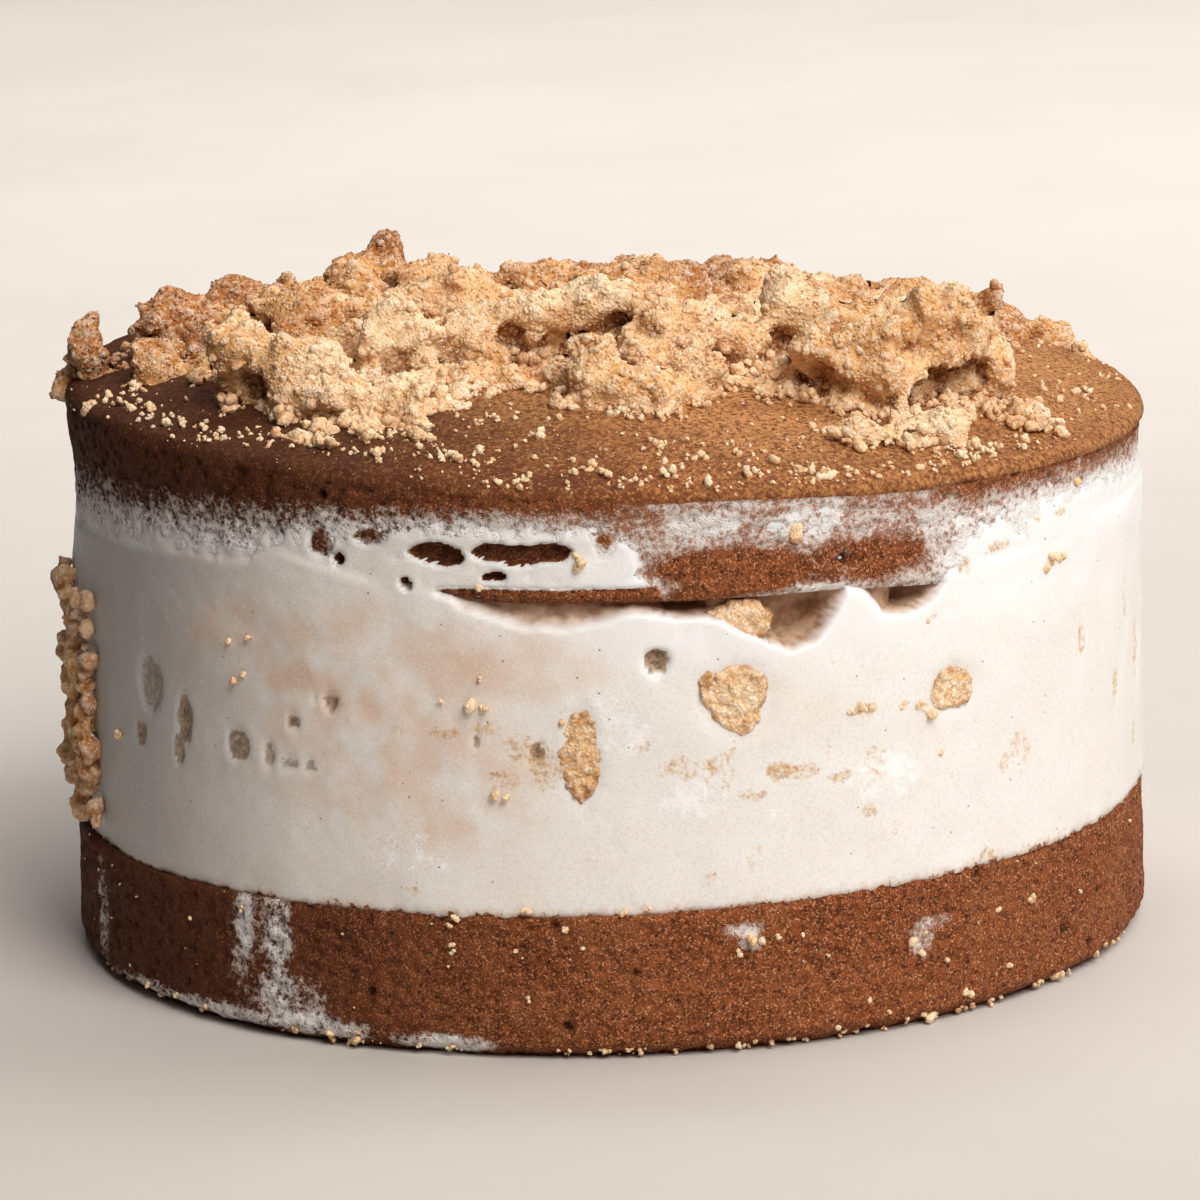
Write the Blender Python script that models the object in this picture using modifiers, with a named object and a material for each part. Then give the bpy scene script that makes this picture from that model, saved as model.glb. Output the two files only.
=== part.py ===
"""A whole round ice cream cake: sponge, ice cream with crumb pieces, domed sponge and a crumb heap.

Metres, +Z up. The origin is the middle of the flat underside, and -Y is the front, where the ice
cream has sunk a little way below the upper sponge. An azimuth is counted from the front towards +X.
"""

import math
import random

import bmesh
import bpy
from mathutils import Euler, Matrix, Vector, noise

# Driving dimensions of the layers
SPONGE_RADIUS = 0.0765
FILLING_RADIUS = 0.0760
BASE_HEIGHT = 0.0200
BASE_SLOPE = 0.013
FILLING_TOP = 0.0621
FILLING_SLOPE = -0.011
RIM_HEIGHT = 0.0768
RIM_SLOPE = -0.045
DOME_RISE = 0.0105
DOME_POWER = 0.85
LAYER_GAP = 0.00035

# Each layer sits a little off the axis, as it came out of its ring
FILLING_SHIFT = 0.0005
TOP_SHIFT = 0.0008

SIDES = 44
WELD = 0.000004
SIDE_WAVE = 0.00035
SIDE_WAVE_LENGTH = 0.022

# The upper sponge's lip stands bare between these azimuths, and the ice cream rises past it elsewhere
LIP_START = -17.0
LIP_END = 37.0
LIP_BLEND = 13.0
RISE_LEFT = 0.0042
RISE_RIGHT = 0.0030
RISE_DEPTH = 0.0060
RISE_FADES = (100.0, 160.0)

# The heap's outline as (azimuth, distance from the axis), going once round
HEAP_OUTLINE = (
    (-165, 0.070),
    (-130, 0.073),
    (-100, 0.074),
    (-75, 0.073),
    (-58, 0.063),
    (-42, 0.067),
    (-28, 0.066),
    (-16, 0.046),
    (-5, 0.043),
    (8, 0.050),
    (22, 0.040),
    (33, 0.056),
    (48, 0.067),
    (62, 0.064),
    (80, 0.055),
    (99, 0.060),
    (107, 0.0725),
    (125, 0.073),
    (150, 0.071),
)
HEAP_DEPTH = 0.0028
HEAP_WAVE = 0.0024
HEAP_WAVE_LENGTH = 0.0090
HEAP_BUMP = 0.0020
HEAP_RAGGED = 0.0035
HEAP_SINK = 0.0015
HEAP_CELL = 0.0066
HEAP_JITTER = 0.28
HEAP_EDGE_POWER = 7

# The large clumps of crumb as (centre, half sizes, turn in degrees), from the left round the front
CLUMPS = (
    ((-0.0720, -0.0060, 0.0858), (0.0042, 0.0062, 0.0058), 0),
    ((-0.0605, -0.0040, 0.0895), (0.0062, 0.0070, 0.0062), 20),
    ((-0.0620, -0.0170, 0.0862), (0.0052, 0.0050, 0.0046), 60),
    ((-0.0495, -0.0370, 0.0902), (0.0050, 0.0062, 0.0074), 10),
    ((-0.0405, -0.0405, 0.0898), (0.0085, 0.0060, 0.0056), -10),
    ((-0.0375, -0.0450, 0.0852), (0.0094, 0.0066, 0.0058), -25),
    ((-0.0290, -0.0490, 0.0838), (0.0060, 0.0048, 0.0050), 0),
    ((-0.0245, -0.0555, 0.0822), (0.0038, 0.0034, 0.0046), 15),
    ((-0.0410, -0.0550, 0.0812), (0.0056, 0.0040, 0.0036), -15),
    ((-0.0330, -0.0575, 0.0805), (0.0052, 0.0034, 0.0034), 5),
    ((-0.0275, -0.0285, 0.0895), (0.0072, 0.0066, 0.0068), 5),
    ((-0.0165, -0.0275, 0.0902), (0.0070, 0.0062, 0.0060), -10),
    ((-0.0420, -0.0080, 0.0915), (0.0082, 0.0065, 0.0046), -10),
    ((-0.0220, -0.0020, 0.0915), (0.0110, 0.0080, 0.0044), 15),
    ((-0.0080, -0.0275, 0.0930), (0.0050, 0.0052, 0.0046), 10),
    ((-0.0005, -0.0275, 0.0945), (0.0064, 0.0060, 0.0050), 0),
    ((0.0070, -0.0290, 0.0940), (0.0052, 0.0052, 0.0046), -20),
    ((0.0130, -0.0345, 0.0915), (0.0046, 0.0048, 0.0052), 30),
    ((0.0130, -0.0425, 0.0870), (0.0048, 0.0050, 0.0050), 0),
    ((0.0072, -0.0475, 0.0852), (0.0060, 0.0056, 0.0050), 10),
    ((0.0008, -0.0465, 0.0862), (0.0056, 0.0056, 0.0052), -15),
    ((-0.0010, -0.0440, 0.0905), (0.0046, 0.0048, 0.0046), 0),
    ((0.0190, -0.0290, 0.0880), (0.0052, 0.0050, 0.0054), 0),
    ((0.0275, -0.0215, 0.0905), (0.0066, 0.0066, 0.0070), 25),
    ((0.0265, -0.0350, 0.0848), (0.0048, 0.0044, 0.0048), 0),
    ((0.0360, -0.0400, 0.0882), (0.0100, 0.0070, 0.0076), -10),
    ((0.0480, -0.0335, 0.0908), (0.0082, 0.0072, 0.0078), 20),
    ((0.0340, -0.0540, 0.0800), (0.0070, 0.0046, 0.0038), -10),
    ((0.0450, -0.0490, 0.0798), (0.0060, 0.0044, 0.0040), 15),
    ((0.0550, -0.0280, 0.0845), (0.0046, 0.0058, 0.0064), 0),
    ((0.0590, -0.0370, 0.0785), (0.0050, 0.0042, 0.0038), -30),
    ((0.0560, 0.0270, 0.0800), (0.0070, 0.0085, 0.0050), -20),
    ((0.0660, 0.0300, 0.0770), (0.0050, 0.0055, 0.0044), 40),
    ((0.0705, 0.0200, 0.0755), (0.0040, 0.0050, 0.0038), 10),
    ((0.0725, 0.0110, 0.0745), (0.0028, 0.0046, 0.0030), 0),
    ((0.0460, 0.0440, 0.0805), (0.0090, 0.0075, 0.0046), 25),
    ((0.0220, 0.0520, 0.0830), (0.0095, 0.0070, 0.0044), 0),
    ((0.0040, 0.0560, 0.0830), (0.0070, 0.0060, 0.0046), 20),
    ((-0.0305, 0.0440, 0.0910), (0.0031, 0.0031, 0.0031), 0),
    ((-0.0335, 0.0395, 0.0870), (0.0085, 0.0065, 0.0044), -15),
    ((-0.0520, 0.0230, 0.0865), (0.0085, 0.0075, 0.0048), 30),
    ((0.0080, 0.0150, 0.0895), (0.0110, 0.0090, 0.0040), -20),
)
# The rest of the heap as (how many, least and most half size, least distance between two)
CRUMB_SIZES = ((15, 0.0042, 0.0060, 0.0150), (6, 0.0028, 0.0038, 0.0120), (14, 0.0019, 0.0026, 0.0090))
LARGE_CRUMB = 0.0040
CLUMP_CLEARANCE = 0.0095

# Small crumbs along the front of the heap's outline, between two azimuths
EDGE_CRUMBS = 12
EDGE_CRUMB_SIZE = (0.0015, 0.0026)
EDGE_START = -85.0
EDGE_END = 80.0

# Lumps: how rough, how far tipped, and the half size and place from which they take more faces
ROUGHNESS = 0.42
COARSE_GRAIN = 1.4
FINE_GRAIN = 3.1
LUMP_TILT = 0.06
SMOOTHER_CRUMB = 0.0046
SMOOTHER_CLUMP = 0.0065
FRONT_OF_HEAP = -0.022

# Loose crumbs that stick to the bare dome between two azimuths, and those caught on the left side
DOME_CRUMBS = 12
DOME_CRUMB_SIZE = (0.0009, 0.0016)
DOME_CRUMB_START = -80.0
DOME_CRUMB_END = 110.0
SIDE_STRIP_AZIMUTH = -86.0
SIDE_STRIP_BOTTOM = 0.0235
SIDE_STRIP_TOP = 0.0545
SIDE_CRUMBS = 9
SIDE_CRUMB_SIZE = (0.0022, 0.0031)

# Crumb pieces frozen into the ice cream as name: (azimuth, height, half width, half height)
INCLUSIONS = {
    "inclusion_front": (12.3, 0.0492, 0.0043, 0.0044),
    "inclusion_right": (37.2, 0.0464, 0.0040, 0.0032),
    "inclusion_long": (-3.3, 0.0421, 0.0026, 0.0073),
    "inclusion_gap": (13.2, 0.0592, 0.0044, 0.0026),
}
INCLUSION_DEPTH = 0.0060

# Hollows under the lip as (azimuth, height, half width, half height, depth)
HOLLOWS = (
    (-8.5, 0.0619, 0.0140, 0.0018, 0.0045),
    (7.2, 0.0612, 0.0034, 0.0014, 0.0070),
    (19.8, 0.0592, 0.0054, 0.0052, 0.0085),
    (32.4, 0.0598, 0.0054, 0.0022, 0.0065),
)

# Seeds of the random draws
CORE_SEED = 3
HEAP_SEED = 19
SIDE_SEED = 4
DOME_SEED = 8

# Colour and roughness of each material
FINISHES = {
    "base_cake": ((0.20, 0.075, 0.030), 0.75),
    "top_cake": ((0.30, 0.130, 0.050), 0.70),
    "ice_cream": ((0.83, 0.74, 0.64), 0.45),
    "crumb_topping": ((0.60, 0.40, 0.21), 0.85),
    "inclusion": ((0.50, 0.33, 0.18), 0.80),
}


def smooth_step(value):
    value = min(1.0, max(0.0, value))
    return value * value * (3.0 - 2.0 * value)


def azimuth_of(x, y):
    return math.degrees(math.atan2(x, -y))


def at_azimuth(azimuth, distance):
    angle = math.radians(azimuth)
    return distance * math.sin(angle), -distance * math.cos(angle)


def base_top(x):
    return BASE_HEIGHT + BASE_SLOPE * x


def filling_top(x, y):
    """The height of the ice cream's upper face: flat inside, and risen near the edge away from the lip."""
    azimuth = azimuth_of(x, y)
    left = smooth_step((LIP_START - azimuth) / LIP_BLEND)
    right = smooth_step((azimuth - LIP_END) / LIP_BLEND)
    behind = smooth_step((abs(azimuth) - RISE_FADES[0]) / (RISE_FADES[1] - RISE_FADES[0]))
    rise = (RISE_LEFT * left + RISE_RIGHT * right) * (1.0 - behind)
    rise += 0.5 * (RISE_LEFT + RISE_RIGHT) * behind
    near_edge = smooth_step((math.hypot(x, y) - FILLING_RADIUS + RISE_DEPTH) / RISE_DEPTH)
    return FILLING_TOP + FILLING_SLOPE * x + rise * near_edge


def dome_height(x, y):
    """The height of the upper sponge's domed face."""
    share = min(1.0, math.hypot(x - TOP_SHIFT, y) / SPONGE_RADIUS)
    return RIM_HEIGHT + RIM_SLOPE * x + DOME_RISE * (1.0 - share * share) ** DOME_POWER


def side_wave(x, y, z, seed):
    """How far the moulded side stands out or in at a point."""
    place = Vector((x, y, z)) / SIDE_WAVE_LENGTH
    return SIDE_WAVE * noise.noise(place + Vector((seed, 0.0, 0.0)))


def heap_reach(azimuth):
    """The heap's ragged outline, eased between the listed azimuths."""
    turns = [point[0] for point in HEAP_OUTLINE]
    reaches = [point[1] for point in HEAP_OUTLINE]
    turns.append(turns[0] + 360.0)
    reaches.append(reaches[0])
    azimuth = (azimuth - turns[0]) % 360.0 + turns[0]
    for index in range(len(turns) - 1):
        if azimuth <= turns[index + 1]:
            share = smooth_step((azimuth - turns[index]) / (turns[index + 1] - turns[index]))
            reach = reaches[index] + share * (reaches[index + 1] - reaches[index])
            edge = Vector((*at_azimuth(azimuth, reach), 0.7))
            return min(reach + HEAP_RAGGED * noise.noise(edge / HEAP_CELL), SPONGE_RADIUS - 0.001)
    return reaches[-1]


def heap_height(x, y):
    """The height of the heap's core, which thins towards its outline."""
    share = min(1.0, math.hypot(x, y) / heap_reach(azimuth_of(x, y)))
    wave = HEAP_WAVE * noise.noise(Vector((x, y, 0.3)) / HEAP_WAVE_LENGTH)
    return dome_height(x, y) + (HEAP_DEPTH + wave) * (1.0 - share**HEAP_EDGE_POWER) ** 0.5


def new_collection(name):
    collection = bpy.data.collections.new(name)
    bpy.context.scene.collection.children.link(collection)
    return collection


def material(name, finish):
    colour, roughness = FINISHES[finish]
    made = bpy.data.materials.new(name)
    made.use_nodes = True
    shader = made.node_tree.nodes["Principled BSDF"]
    shader.inputs["Base Color"].default_value = (*colour, 1.0)
    shader.inputs["Roughness"].default_value = roughness
    shader.inputs["Metallic"].default_value = 0.0
    return made


def object_from(shape, name, collection):
    """An object that takes the shape's faces, turned to point out."""
    bmesh.ops.recalc_face_normals(shape, faces=shape.faces)
    mesh = bpy.data.meshes.new(name)
    shape.to_mesh(mesh)
    shape.free()
    made = bpy.data.objects.new(name, mesh)
    collection.objects.link(made)
    return made


def apply_modifiers(thing):
    """Keep the evaluated mesh in place of the modifiers."""
    graph = bpy.context.evaluated_depsgraph_get()
    mesh = bpy.data.meshes.new_from_object(thing.evaluated_get(graph))
    thing.modifiers.clear()
    thing.data = mesh


def turned(name, profile, place, collection):
    """A profile of (distance, height) from the top of the axis round to its foot, screwed once round.

    Each point is then moved by the function place, which takes and returns x, y and z.
    """
    outline = bpy.data.meshes.new(name)
    edges = [(index, index + 1) for index in range(len(profile) - 1)]
    outline.from_pydata([(distance, 0.0, height) for distance, height in profile], edges, [])
    made = bpy.data.objects.new(name, outline)
    collection.objects.link(made)
    screw = made.modifiers.new("turn", "SCREW")
    screw.steps = SIDES
    screw.render_steps = SIDES
    screw.use_merge_vertices = True
    screw.merge_threshold = 0.00005
    apply_modifiers(made)
    shape = bmesh.new()
    shape.from_mesh(made.data)
    for vert in shape.verts:
        vert.co = place(*vert.co)
    bmesh.ops.triangulate(shape, faces=shape.faces)
    bmesh.ops.recalc_face_normals(shape, faces=shape.faces)
    shape.to_mesh(made.data)
    shape.free()
    return made


def boolean(thing, operation, other, solver="EXACT"):
    """Join, cut or trim a solid by an object, or by all the objects of a collection."""
    modifier = thing.modifiers.new(operation.lower(), "BOOLEAN")
    modifier.operation = operation
    modifier.solver = solver
    if isinstance(other, bpy.types.Collection):
        modifier.operand_type = "COLLECTION"
        modifier.collection = other
    else:
        modifier.object = other
    apply_modifiers(thing)


def set_material(thing, name, finish):
    thing.data.materials.clear()
    thing.data.materials.append(material(name, finish))


def remove_objects(things):
    for thing in list(things):
        bpy.data.objects.remove(thing)


def keep_largest_body(thing):
    """Drop the loose scraps of a Boolean and fill the hollows that it sealed."""
    shape = bmesh.new()
    shape.from_mesh(thing.data)
    bmesh.ops.remove_doubles(shape, verts=shape.verts, dist=WELD)
    bmesh.ops.triangulate(shape, faces=shape.faces)
    left = set(shape.faces)
    bodies = []
    while left:
        front = [left.pop()]
        body = set(front)
        while front:
            for edge in front.pop().edges:
                near = set(edge.link_faces) & left
                left -= near
                body |= near
                front.extend(near)
        bodies.append(body)
    largest = max(bodies, key=len)
    dropped = [face for body in bodies if body is not largest for face in body]
    bmesh.ops.delete(shape, geom=dropped, context="FACES")
    shape.to_mesh(thing.data)
    shape.free()


def lump(name, centre, half_sizes, turn, seed, detail, collection):
    """A rough closed lump of crumb: an icosphere whose points are moved in and out."""
    shape = bmesh.new()
    bmesh.ops.create_icosphere(shape, subdivisions=detail, radius=1.0)
    for vert in shape.verts:
        place = vert.co + Vector((seed * 7.31, 0.0, 0.0))
        coarse = noise.noise(place * COARSE_GRAIN)
        fine = 0.5 * noise.noise(place * FINE_GRAIN)
        vert.co *= 1.0 + ROUGHNESS * (coarse + fine)
    turned_to = Euler((LUMP_TILT, -LUMP_TILT, math.radians(turn)))
    shape.transform(Matrix.LocRotScale(Vector(centre), turned_to, Vector(half_sizes)))
    return object_from(shape, name, collection)


def make_base(collection):
    radius = SPONGE_RADIUS
    top = BASE_HEIGHT
    profile = (
        (0.0, top),
        (0.5 * radius, top),
        (radius - 0.0012, top),
        (radius - 0.0002, top - 0.0012),
        (radius, 0.5 * top),
        (radius - 0.0003, 0.0045),
        (radius - 0.0010, 0.0016),
        (radius - 0.0030, 0.0),
        (0.5 * radius, 0.0),
        (0.0, 0.0),
    )

    def place(x, y, z):
        out = 1.0 + side_wave(x, y, z, 1.0) / radius
        return Vector((x * out, y * out, z + BASE_SLOPE * x * z / top))

    base = turned("base_cake", profile, place, collection)
    set_material(base, "base_sponge", "base_cake")
    return base


def make_filling(collection):
    """The ice cream without its pockets: both faces follow the sponges they touch."""
    radius = FILLING_RADIUS
    foot = BASE_HEIGHT
    top = FILLING_TOP
    profile = (
        (0.0, top),
        (0.5 * radius, top),
        (radius - RISE_DEPTH, top),
        (radius - 0.5 * RISE_DEPTH, top),
        (radius - 0.0015, top),
        (radius - 0.0005, top - 0.0001),
        (radius, top - 0.0012),
        (radius, 0.5 * (foot + top)),
        (radius, foot + 0.0010),
        (radius - 0.0008, foot),
        (0.5 * radius, foot),
        (0.0, foot),
    )

    def place(x, y, z):
        share = (z - foot) / (top - foot)
        out = 1.0 + side_wave(x, y, z, 5.0) / radius
        x, y = x * out + FILLING_SHIFT, y * out
        low = base_top(x) + LAYER_GAP
        high = filling_top(x, y)
        return Vector((x, y, low + share * (high - low)))

    return turned("ice_cream", profile, place, collection)


def make_top(collection):
    """The domed upper sponge without its loose crumbs."""
    radius = SPONGE_RADIUS
    top = RIM_HEIGHT
    foot = FILLING_TOP
    profile = (
        (0.0, top),
        (0.30 * radius, top),
        (0.55 * radius, top),
        (0.75 * radius, top),
        (0.90 * radius, top),
        (radius - 0.0016, top),
        (radius - 0.0002, top - 0.0012),
        (radius, top - 0.0040),
        (radius - 0.0008, 0.5 * (foot + top)),
        (radius - 0.0010, foot + 0.0012),
        (radius - 0.0020, foot),
        (radius - 0.5 * RISE_DEPTH, foot),
        (radius - RISE_DEPTH, foot),
        (0.5 * radius, foot),
        (0.0, foot),
    )

    def place(x, y, z):
        if z >= top:
            return Vector((x + TOP_SHIFT, y, dome_height(x + TOP_SHIFT, y)))
        share = (z - foot) / (top - foot)
        out = 1.0 + side_wave(x, y, z, 9.0) / radius
        x, y = x * out + TOP_SHIFT, y * out
        low = filling_top(x, y) + LAYER_GAP
        high = RIM_HEIGHT + RIM_SLOPE * x
        return Vector((x, y, low + share * (high - low)))

    return turned("top_cake", profile, place, collection)


def make_heap_core(collection):
    """The bumpy mound under the crumbs, sunk into the dome so that it can be trimmed to it."""
    half = SPONGE_RADIUS
    cells = round(2.0 * half / HEAP_CELL)
    shape = bmesh.new()
    bmesh.ops.create_grid(shape, x_segments=cells, y_segments=cells, size=half)
    rng = random.Random(CORE_SEED)
    outside = set()
    for vert in shape.verts:
        x = vert.co.x + HEAP_CELL * rng.uniform(-HEAP_JITTER, HEAP_JITTER)
        y = vert.co.y + HEAP_CELL * rng.uniform(-HEAP_JITTER, HEAP_JITTER)
        reach = heap_reach(azimuth_of(x, y))
        distance = math.hypot(x, y)
        if distance > reach:
            outside.add(vert)
            x *= reach / distance
            y *= reach / distance
        inside = min(1.0, (reach - math.hypot(x, y)) / HEAP_CELL)
        bump = HEAP_BUMP * rng.uniform(-0.8, 1.0) * inside
        vert.co = (x, y, heap_height(x, y) + bump)
    beyond = [face for face in shape.faces if outside.issuperset(face.verts)]
    bmesh.ops.delete(shape, geom=beyond, context="FACES")
    bmesh.ops.triangulate(shape, faces=shape.faces)
    lower = bmesh.ops.extrude_face_region(shape, geom=shape.faces[:], use_keep_orig=True)
    for vert in lower["geom"]:
        if isinstance(vert, bmesh.types.BMVert):
            vert.co.z = RIM_HEIGHT + RIM_SLOPE * vert.co.x - HEAP_SINK
    return object_from(shape, "crumb_topping", collection)


def near_a_clump(x, y):
    return any(math.hypot(x - centre[0], y - centre[1]) < CLUMP_CLEARANCE for centre, _, _ in CLUMPS)


def touches_a_clump(x, y, size):
    return any(
        math.hypot(x - centre[0], y - centre[1]) < 1.3 * max(half_sizes[:2]) + size + 0.001
        for centre, half_sizes, _ in CLUMPS
    )


def crumb_places(count, nearest, clear, rng):
    """Places inside the heap's outline that keep a distance between them, and from the clumps if clear."""
    places = []
    for _ in range(count * 80):
        azimuth = rng.uniform(-180.0, 180.0)
        distance = heap_reach(azimuth) * math.sqrt(rng.uniform(0.0, 1.0))
        x, y = at_azimuth(azimuth, distance)
        if clear and near_a_clump(x, y):
            continue
        if all(math.hypot(x - other[0], y - other[1]) > nearest for other in places):
            places.append((x, y))
        if len(places) == count:
            break
    return places


def make_heap(top_cake, collection, cutters):
    """The heap: a core with the clumps and crumbs that show fused on, trimmed to clear the dome."""
    heap = make_heap_core(collection)
    crumbs = bpy.data.collections.new("crumbs")
    cutters.children.link(crumbs)
    for index, (centre, half_sizes, turn) in enumerate(CLUMPS):
        detail = 3 if centre[1] < FRONT_OF_HEAP and min(half_sizes) > SMOOTHER_CLUMP else 2
        lump("clump", centre, half_sizes, turn, index, detail, crumbs)
    rng = random.Random(HEAP_SEED)
    places = [
        (x, y, smallest, largest)
        for count, smallest, largest, nearest in CRUMB_SIZES
        for x, y in crumb_places(count, nearest, smallest > LARGE_CRUMB, rng)
    ]
    for index in range(EDGE_CRUMBS):
        share = (index + rng.uniform(-0.3, 0.3)) / EDGE_CRUMBS
        azimuth = EDGE_START + (EDGE_END - EDGE_START) * share
        x, y = at_azimuth(azimuth, heap_reach(azimuth) + rng.uniform(-0.002, 0.001))
        places.append((x, y, *EDGE_CRUMB_SIZE))
    for x, y, smallest, largest in places:
        size = rng.uniform(smallest, largest)
        half_height = size * rng.uniform(0.55, 0.8)
        half_sizes = (size * rng.uniform(0.8, 1.4), size * rng.uniform(0.8, 1.2), half_height)
        height = heap_height(x, y) + 0.3 * half_height
        detail = 2 if size > SMOOTHER_CRUMB else 1
        turn = rng.uniform(0, 180)
        lump("crumb", (x, y, height), half_sizes, turn, rng.uniform(50, 90), detail, crumbs)
    boolean(heap, "UNION", crumbs, "MANIFOLD")
    remove_objects(crumbs.objects)
    clearance = top_cake.copy()
    clearance.data = top_cake.data.copy()
    clearance.location.z = LAYER_GAP
    cutters.objects.link(clearance)
    bpy.context.view_layer.update()
    boolean(heap, "DIFFERENCE", clearance, "MANIFOLD")
    remove_objects([clearance])
    bpy.data.collections.remove(crumbs)
    keep_largest_body(heap)
    set_material(heap, "crumb", "crumb_topping")
    return heap


def make_inclusions(filling, collection, cutters):
    """Cut a pocket for each frozen crumb piece, and trim the piece to the ice cream's side."""
    pockets = bpy.data.collections.new("pockets")
    cutters.children.link(pockets)
    for index, (name, (azimuth, height, half_width, half_height)) in enumerate(INCLUSIONS.items()):
        x, y = at_azimuth(azimuth, FILLING_RADIUS - 0.25 * INCLUSION_DEPTH)
        centre = (x + FILLING_SHIFT, y, height)
        half_sizes = (half_width, INCLUSION_DEPTH, half_height)
        piece = lump(name, centre, half_sizes, azimuth, index + 3, 2, collection)
        boolean(piece, "INTERSECT", filling)
        set_material(piece, name, "inclusion")
        wider = [half + 2.2 * LAYER_GAP for half in half_sizes]
        lump("pocket", centre, wider, azimuth, index + 3, 2, pockets)
    for azimuth, height, half_width, half_height, depth in HOLLOWS:
        x, y = at_azimuth(azimuth, FILLING_RADIUS)
        lump("hollow", (x, y, height), (half_width, depth, half_height), azimuth, 2.0, 2, pockets)
    boolean(filling, "DIFFERENCE", pockets)
    remove_objects(pockets.objects)
    bpy.data.collections.remove(pockets)
    keep_largest_body(filling)


def make_side_crumbs(filling, cutters):
    """Fuse the strip of crumbs that caught on the left side of the ice cream."""
    crumbs = bpy.data.collections.new("side_crumbs")
    cutters.children.link(crumbs)
    rng = random.Random(SIDE_SEED)
    for index in range(SIDE_CRUMBS):
        share = index / (SIDE_CRUMBS - 1)
        height = SIDE_STRIP_BOTTOM + share * (SIDE_STRIP_TOP - SIDE_STRIP_BOTTOM)
        azimuth = SIDE_STRIP_AZIMUTH + rng.uniform(-2.2, 2.2)
        x, y = at_azimuth(azimuth, FILLING_RADIUS + 0.0003)
        half_sizes = [rng.uniform(*SIDE_CRUMB_SIZE) for _ in range(3)]
        lump("side_crumb", (x, y, height), half_sizes, azimuth, index + 20, 1, crumbs)
    boolean(filling, "UNION", crumbs, "MANIFOLD")
    remove_objects(crumbs.objects)
    bpy.data.collections.remove(crumbs)
    keep_largest_body(filling)
    set_material(filling, "ice_cream", "ice_cream")


def make_dome_crumbs(top_cake, cutters):
    """Fuse the loose crumbs that lie on the bare part of the dome, clear of the heap."""
    crumbs = bpy.data.collections.new("dome_crumbs")
    cutters.children.link(crumbs)
    rng = random.Random(DOME_SEED)
    made = 0
    while made < DOME_CRUMBS:
        azimuth = rng.uniform(DOME_CRUMB_START, DOME_CRUMB_END)
        low = heap_reach(azimuth) + 0.0055
        high = SPONGE_RADIUS - 0.0025
        if low > high:
            continue
        x, y = at_azimuth(azimuth, rng.uniform(low, high))
        size = rng.uniform(*DOME_CRUMB_SIZE)
        if touches_a_clump(x, y, size):
            continue
        half_sizes = (size, size * rng.uniform(0.8, 1.2), size * 0.9)
        height = dome_height(x, y) + 0.2 * size
        lump("dome_crumb", (x, y, height), half_sizes, rng.uniform(0, 180), made, 1, crumbs)
        made += 1
    boolean(top_cake, "UNION", crumbs, "MANIFOLD")
    remove_objects(crumbs.objects)
    bpy.data.collections.remove(crumbs)
    keep_largest_body(top_cake)
    set_material(top_cake, "top_sponge", "top_cake")


def main():
    for thing in list(bpy.data.objects):
        bpy.data.objects.remove(thing)
    cake = new_collection("ice_cream_cake")
    cutters = new_collection("cutters")
    make_base(cake)
    filling = make_filling(cake)
    make_inclusions(filling, cake, cutters)
    make_side_crumbs(filling, cutters)
    top_cake = make_top(cake)
    make_heap(top_cake, cake, cutters)
    make_dome_crumbs(top_cake, cutters)
    for thing in cake.objects:
        thing.data.shade_smooth()
        thing.data.set_sharp_from_angle(angle=math.radians(40.0))


main()
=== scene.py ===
"""The looks of the ice cream cake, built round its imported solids.

Lengths are millimetres until a mesh is made, and an azimuth is in degrees from the front (-Y)
towards +X. The three layers are turned skins with relief, and the heap is the solid's own form
with grains fused on.
"""

import itertools
import math

import bmesh
import bpy
import numpy as np
from mathutils import Matrix, Vector


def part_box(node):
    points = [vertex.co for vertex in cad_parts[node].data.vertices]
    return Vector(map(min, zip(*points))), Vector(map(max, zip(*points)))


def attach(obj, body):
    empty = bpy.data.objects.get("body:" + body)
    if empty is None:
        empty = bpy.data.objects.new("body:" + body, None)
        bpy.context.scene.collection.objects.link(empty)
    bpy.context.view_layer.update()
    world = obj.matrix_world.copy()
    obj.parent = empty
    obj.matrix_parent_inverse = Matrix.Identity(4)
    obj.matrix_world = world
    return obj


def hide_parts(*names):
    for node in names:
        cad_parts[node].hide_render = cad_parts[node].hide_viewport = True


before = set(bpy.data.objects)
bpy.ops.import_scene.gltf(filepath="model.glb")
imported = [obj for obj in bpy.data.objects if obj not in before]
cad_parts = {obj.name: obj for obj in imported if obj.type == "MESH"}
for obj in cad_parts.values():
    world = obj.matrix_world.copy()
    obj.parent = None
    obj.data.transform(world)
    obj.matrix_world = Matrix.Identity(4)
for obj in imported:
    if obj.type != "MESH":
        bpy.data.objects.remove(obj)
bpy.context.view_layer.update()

MM = 0.001

# Spacing of the layers' columns and rows
FRONT_HALF = 96.0
FRONT_STEP = 0.38
BACK_STEP = 1.5
ROW_STEP = 0.42

# The dome as the solid has it, and how far out the frost and the ice cream lie on the sponge
RIM_SLOPE = -0.045
DOME_POWER = 0.85
RIM_ROUND = 1.5
SKIRT_TOP = 75.0
SLOT_FOOT = 54.0
FROST_THICKNESS = 0.25
SKIRT_HIDDEN = 0.9
SKIRT_STEEPNESS = 1.7
FOOT_BELOW_FROST = 0.8
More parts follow.
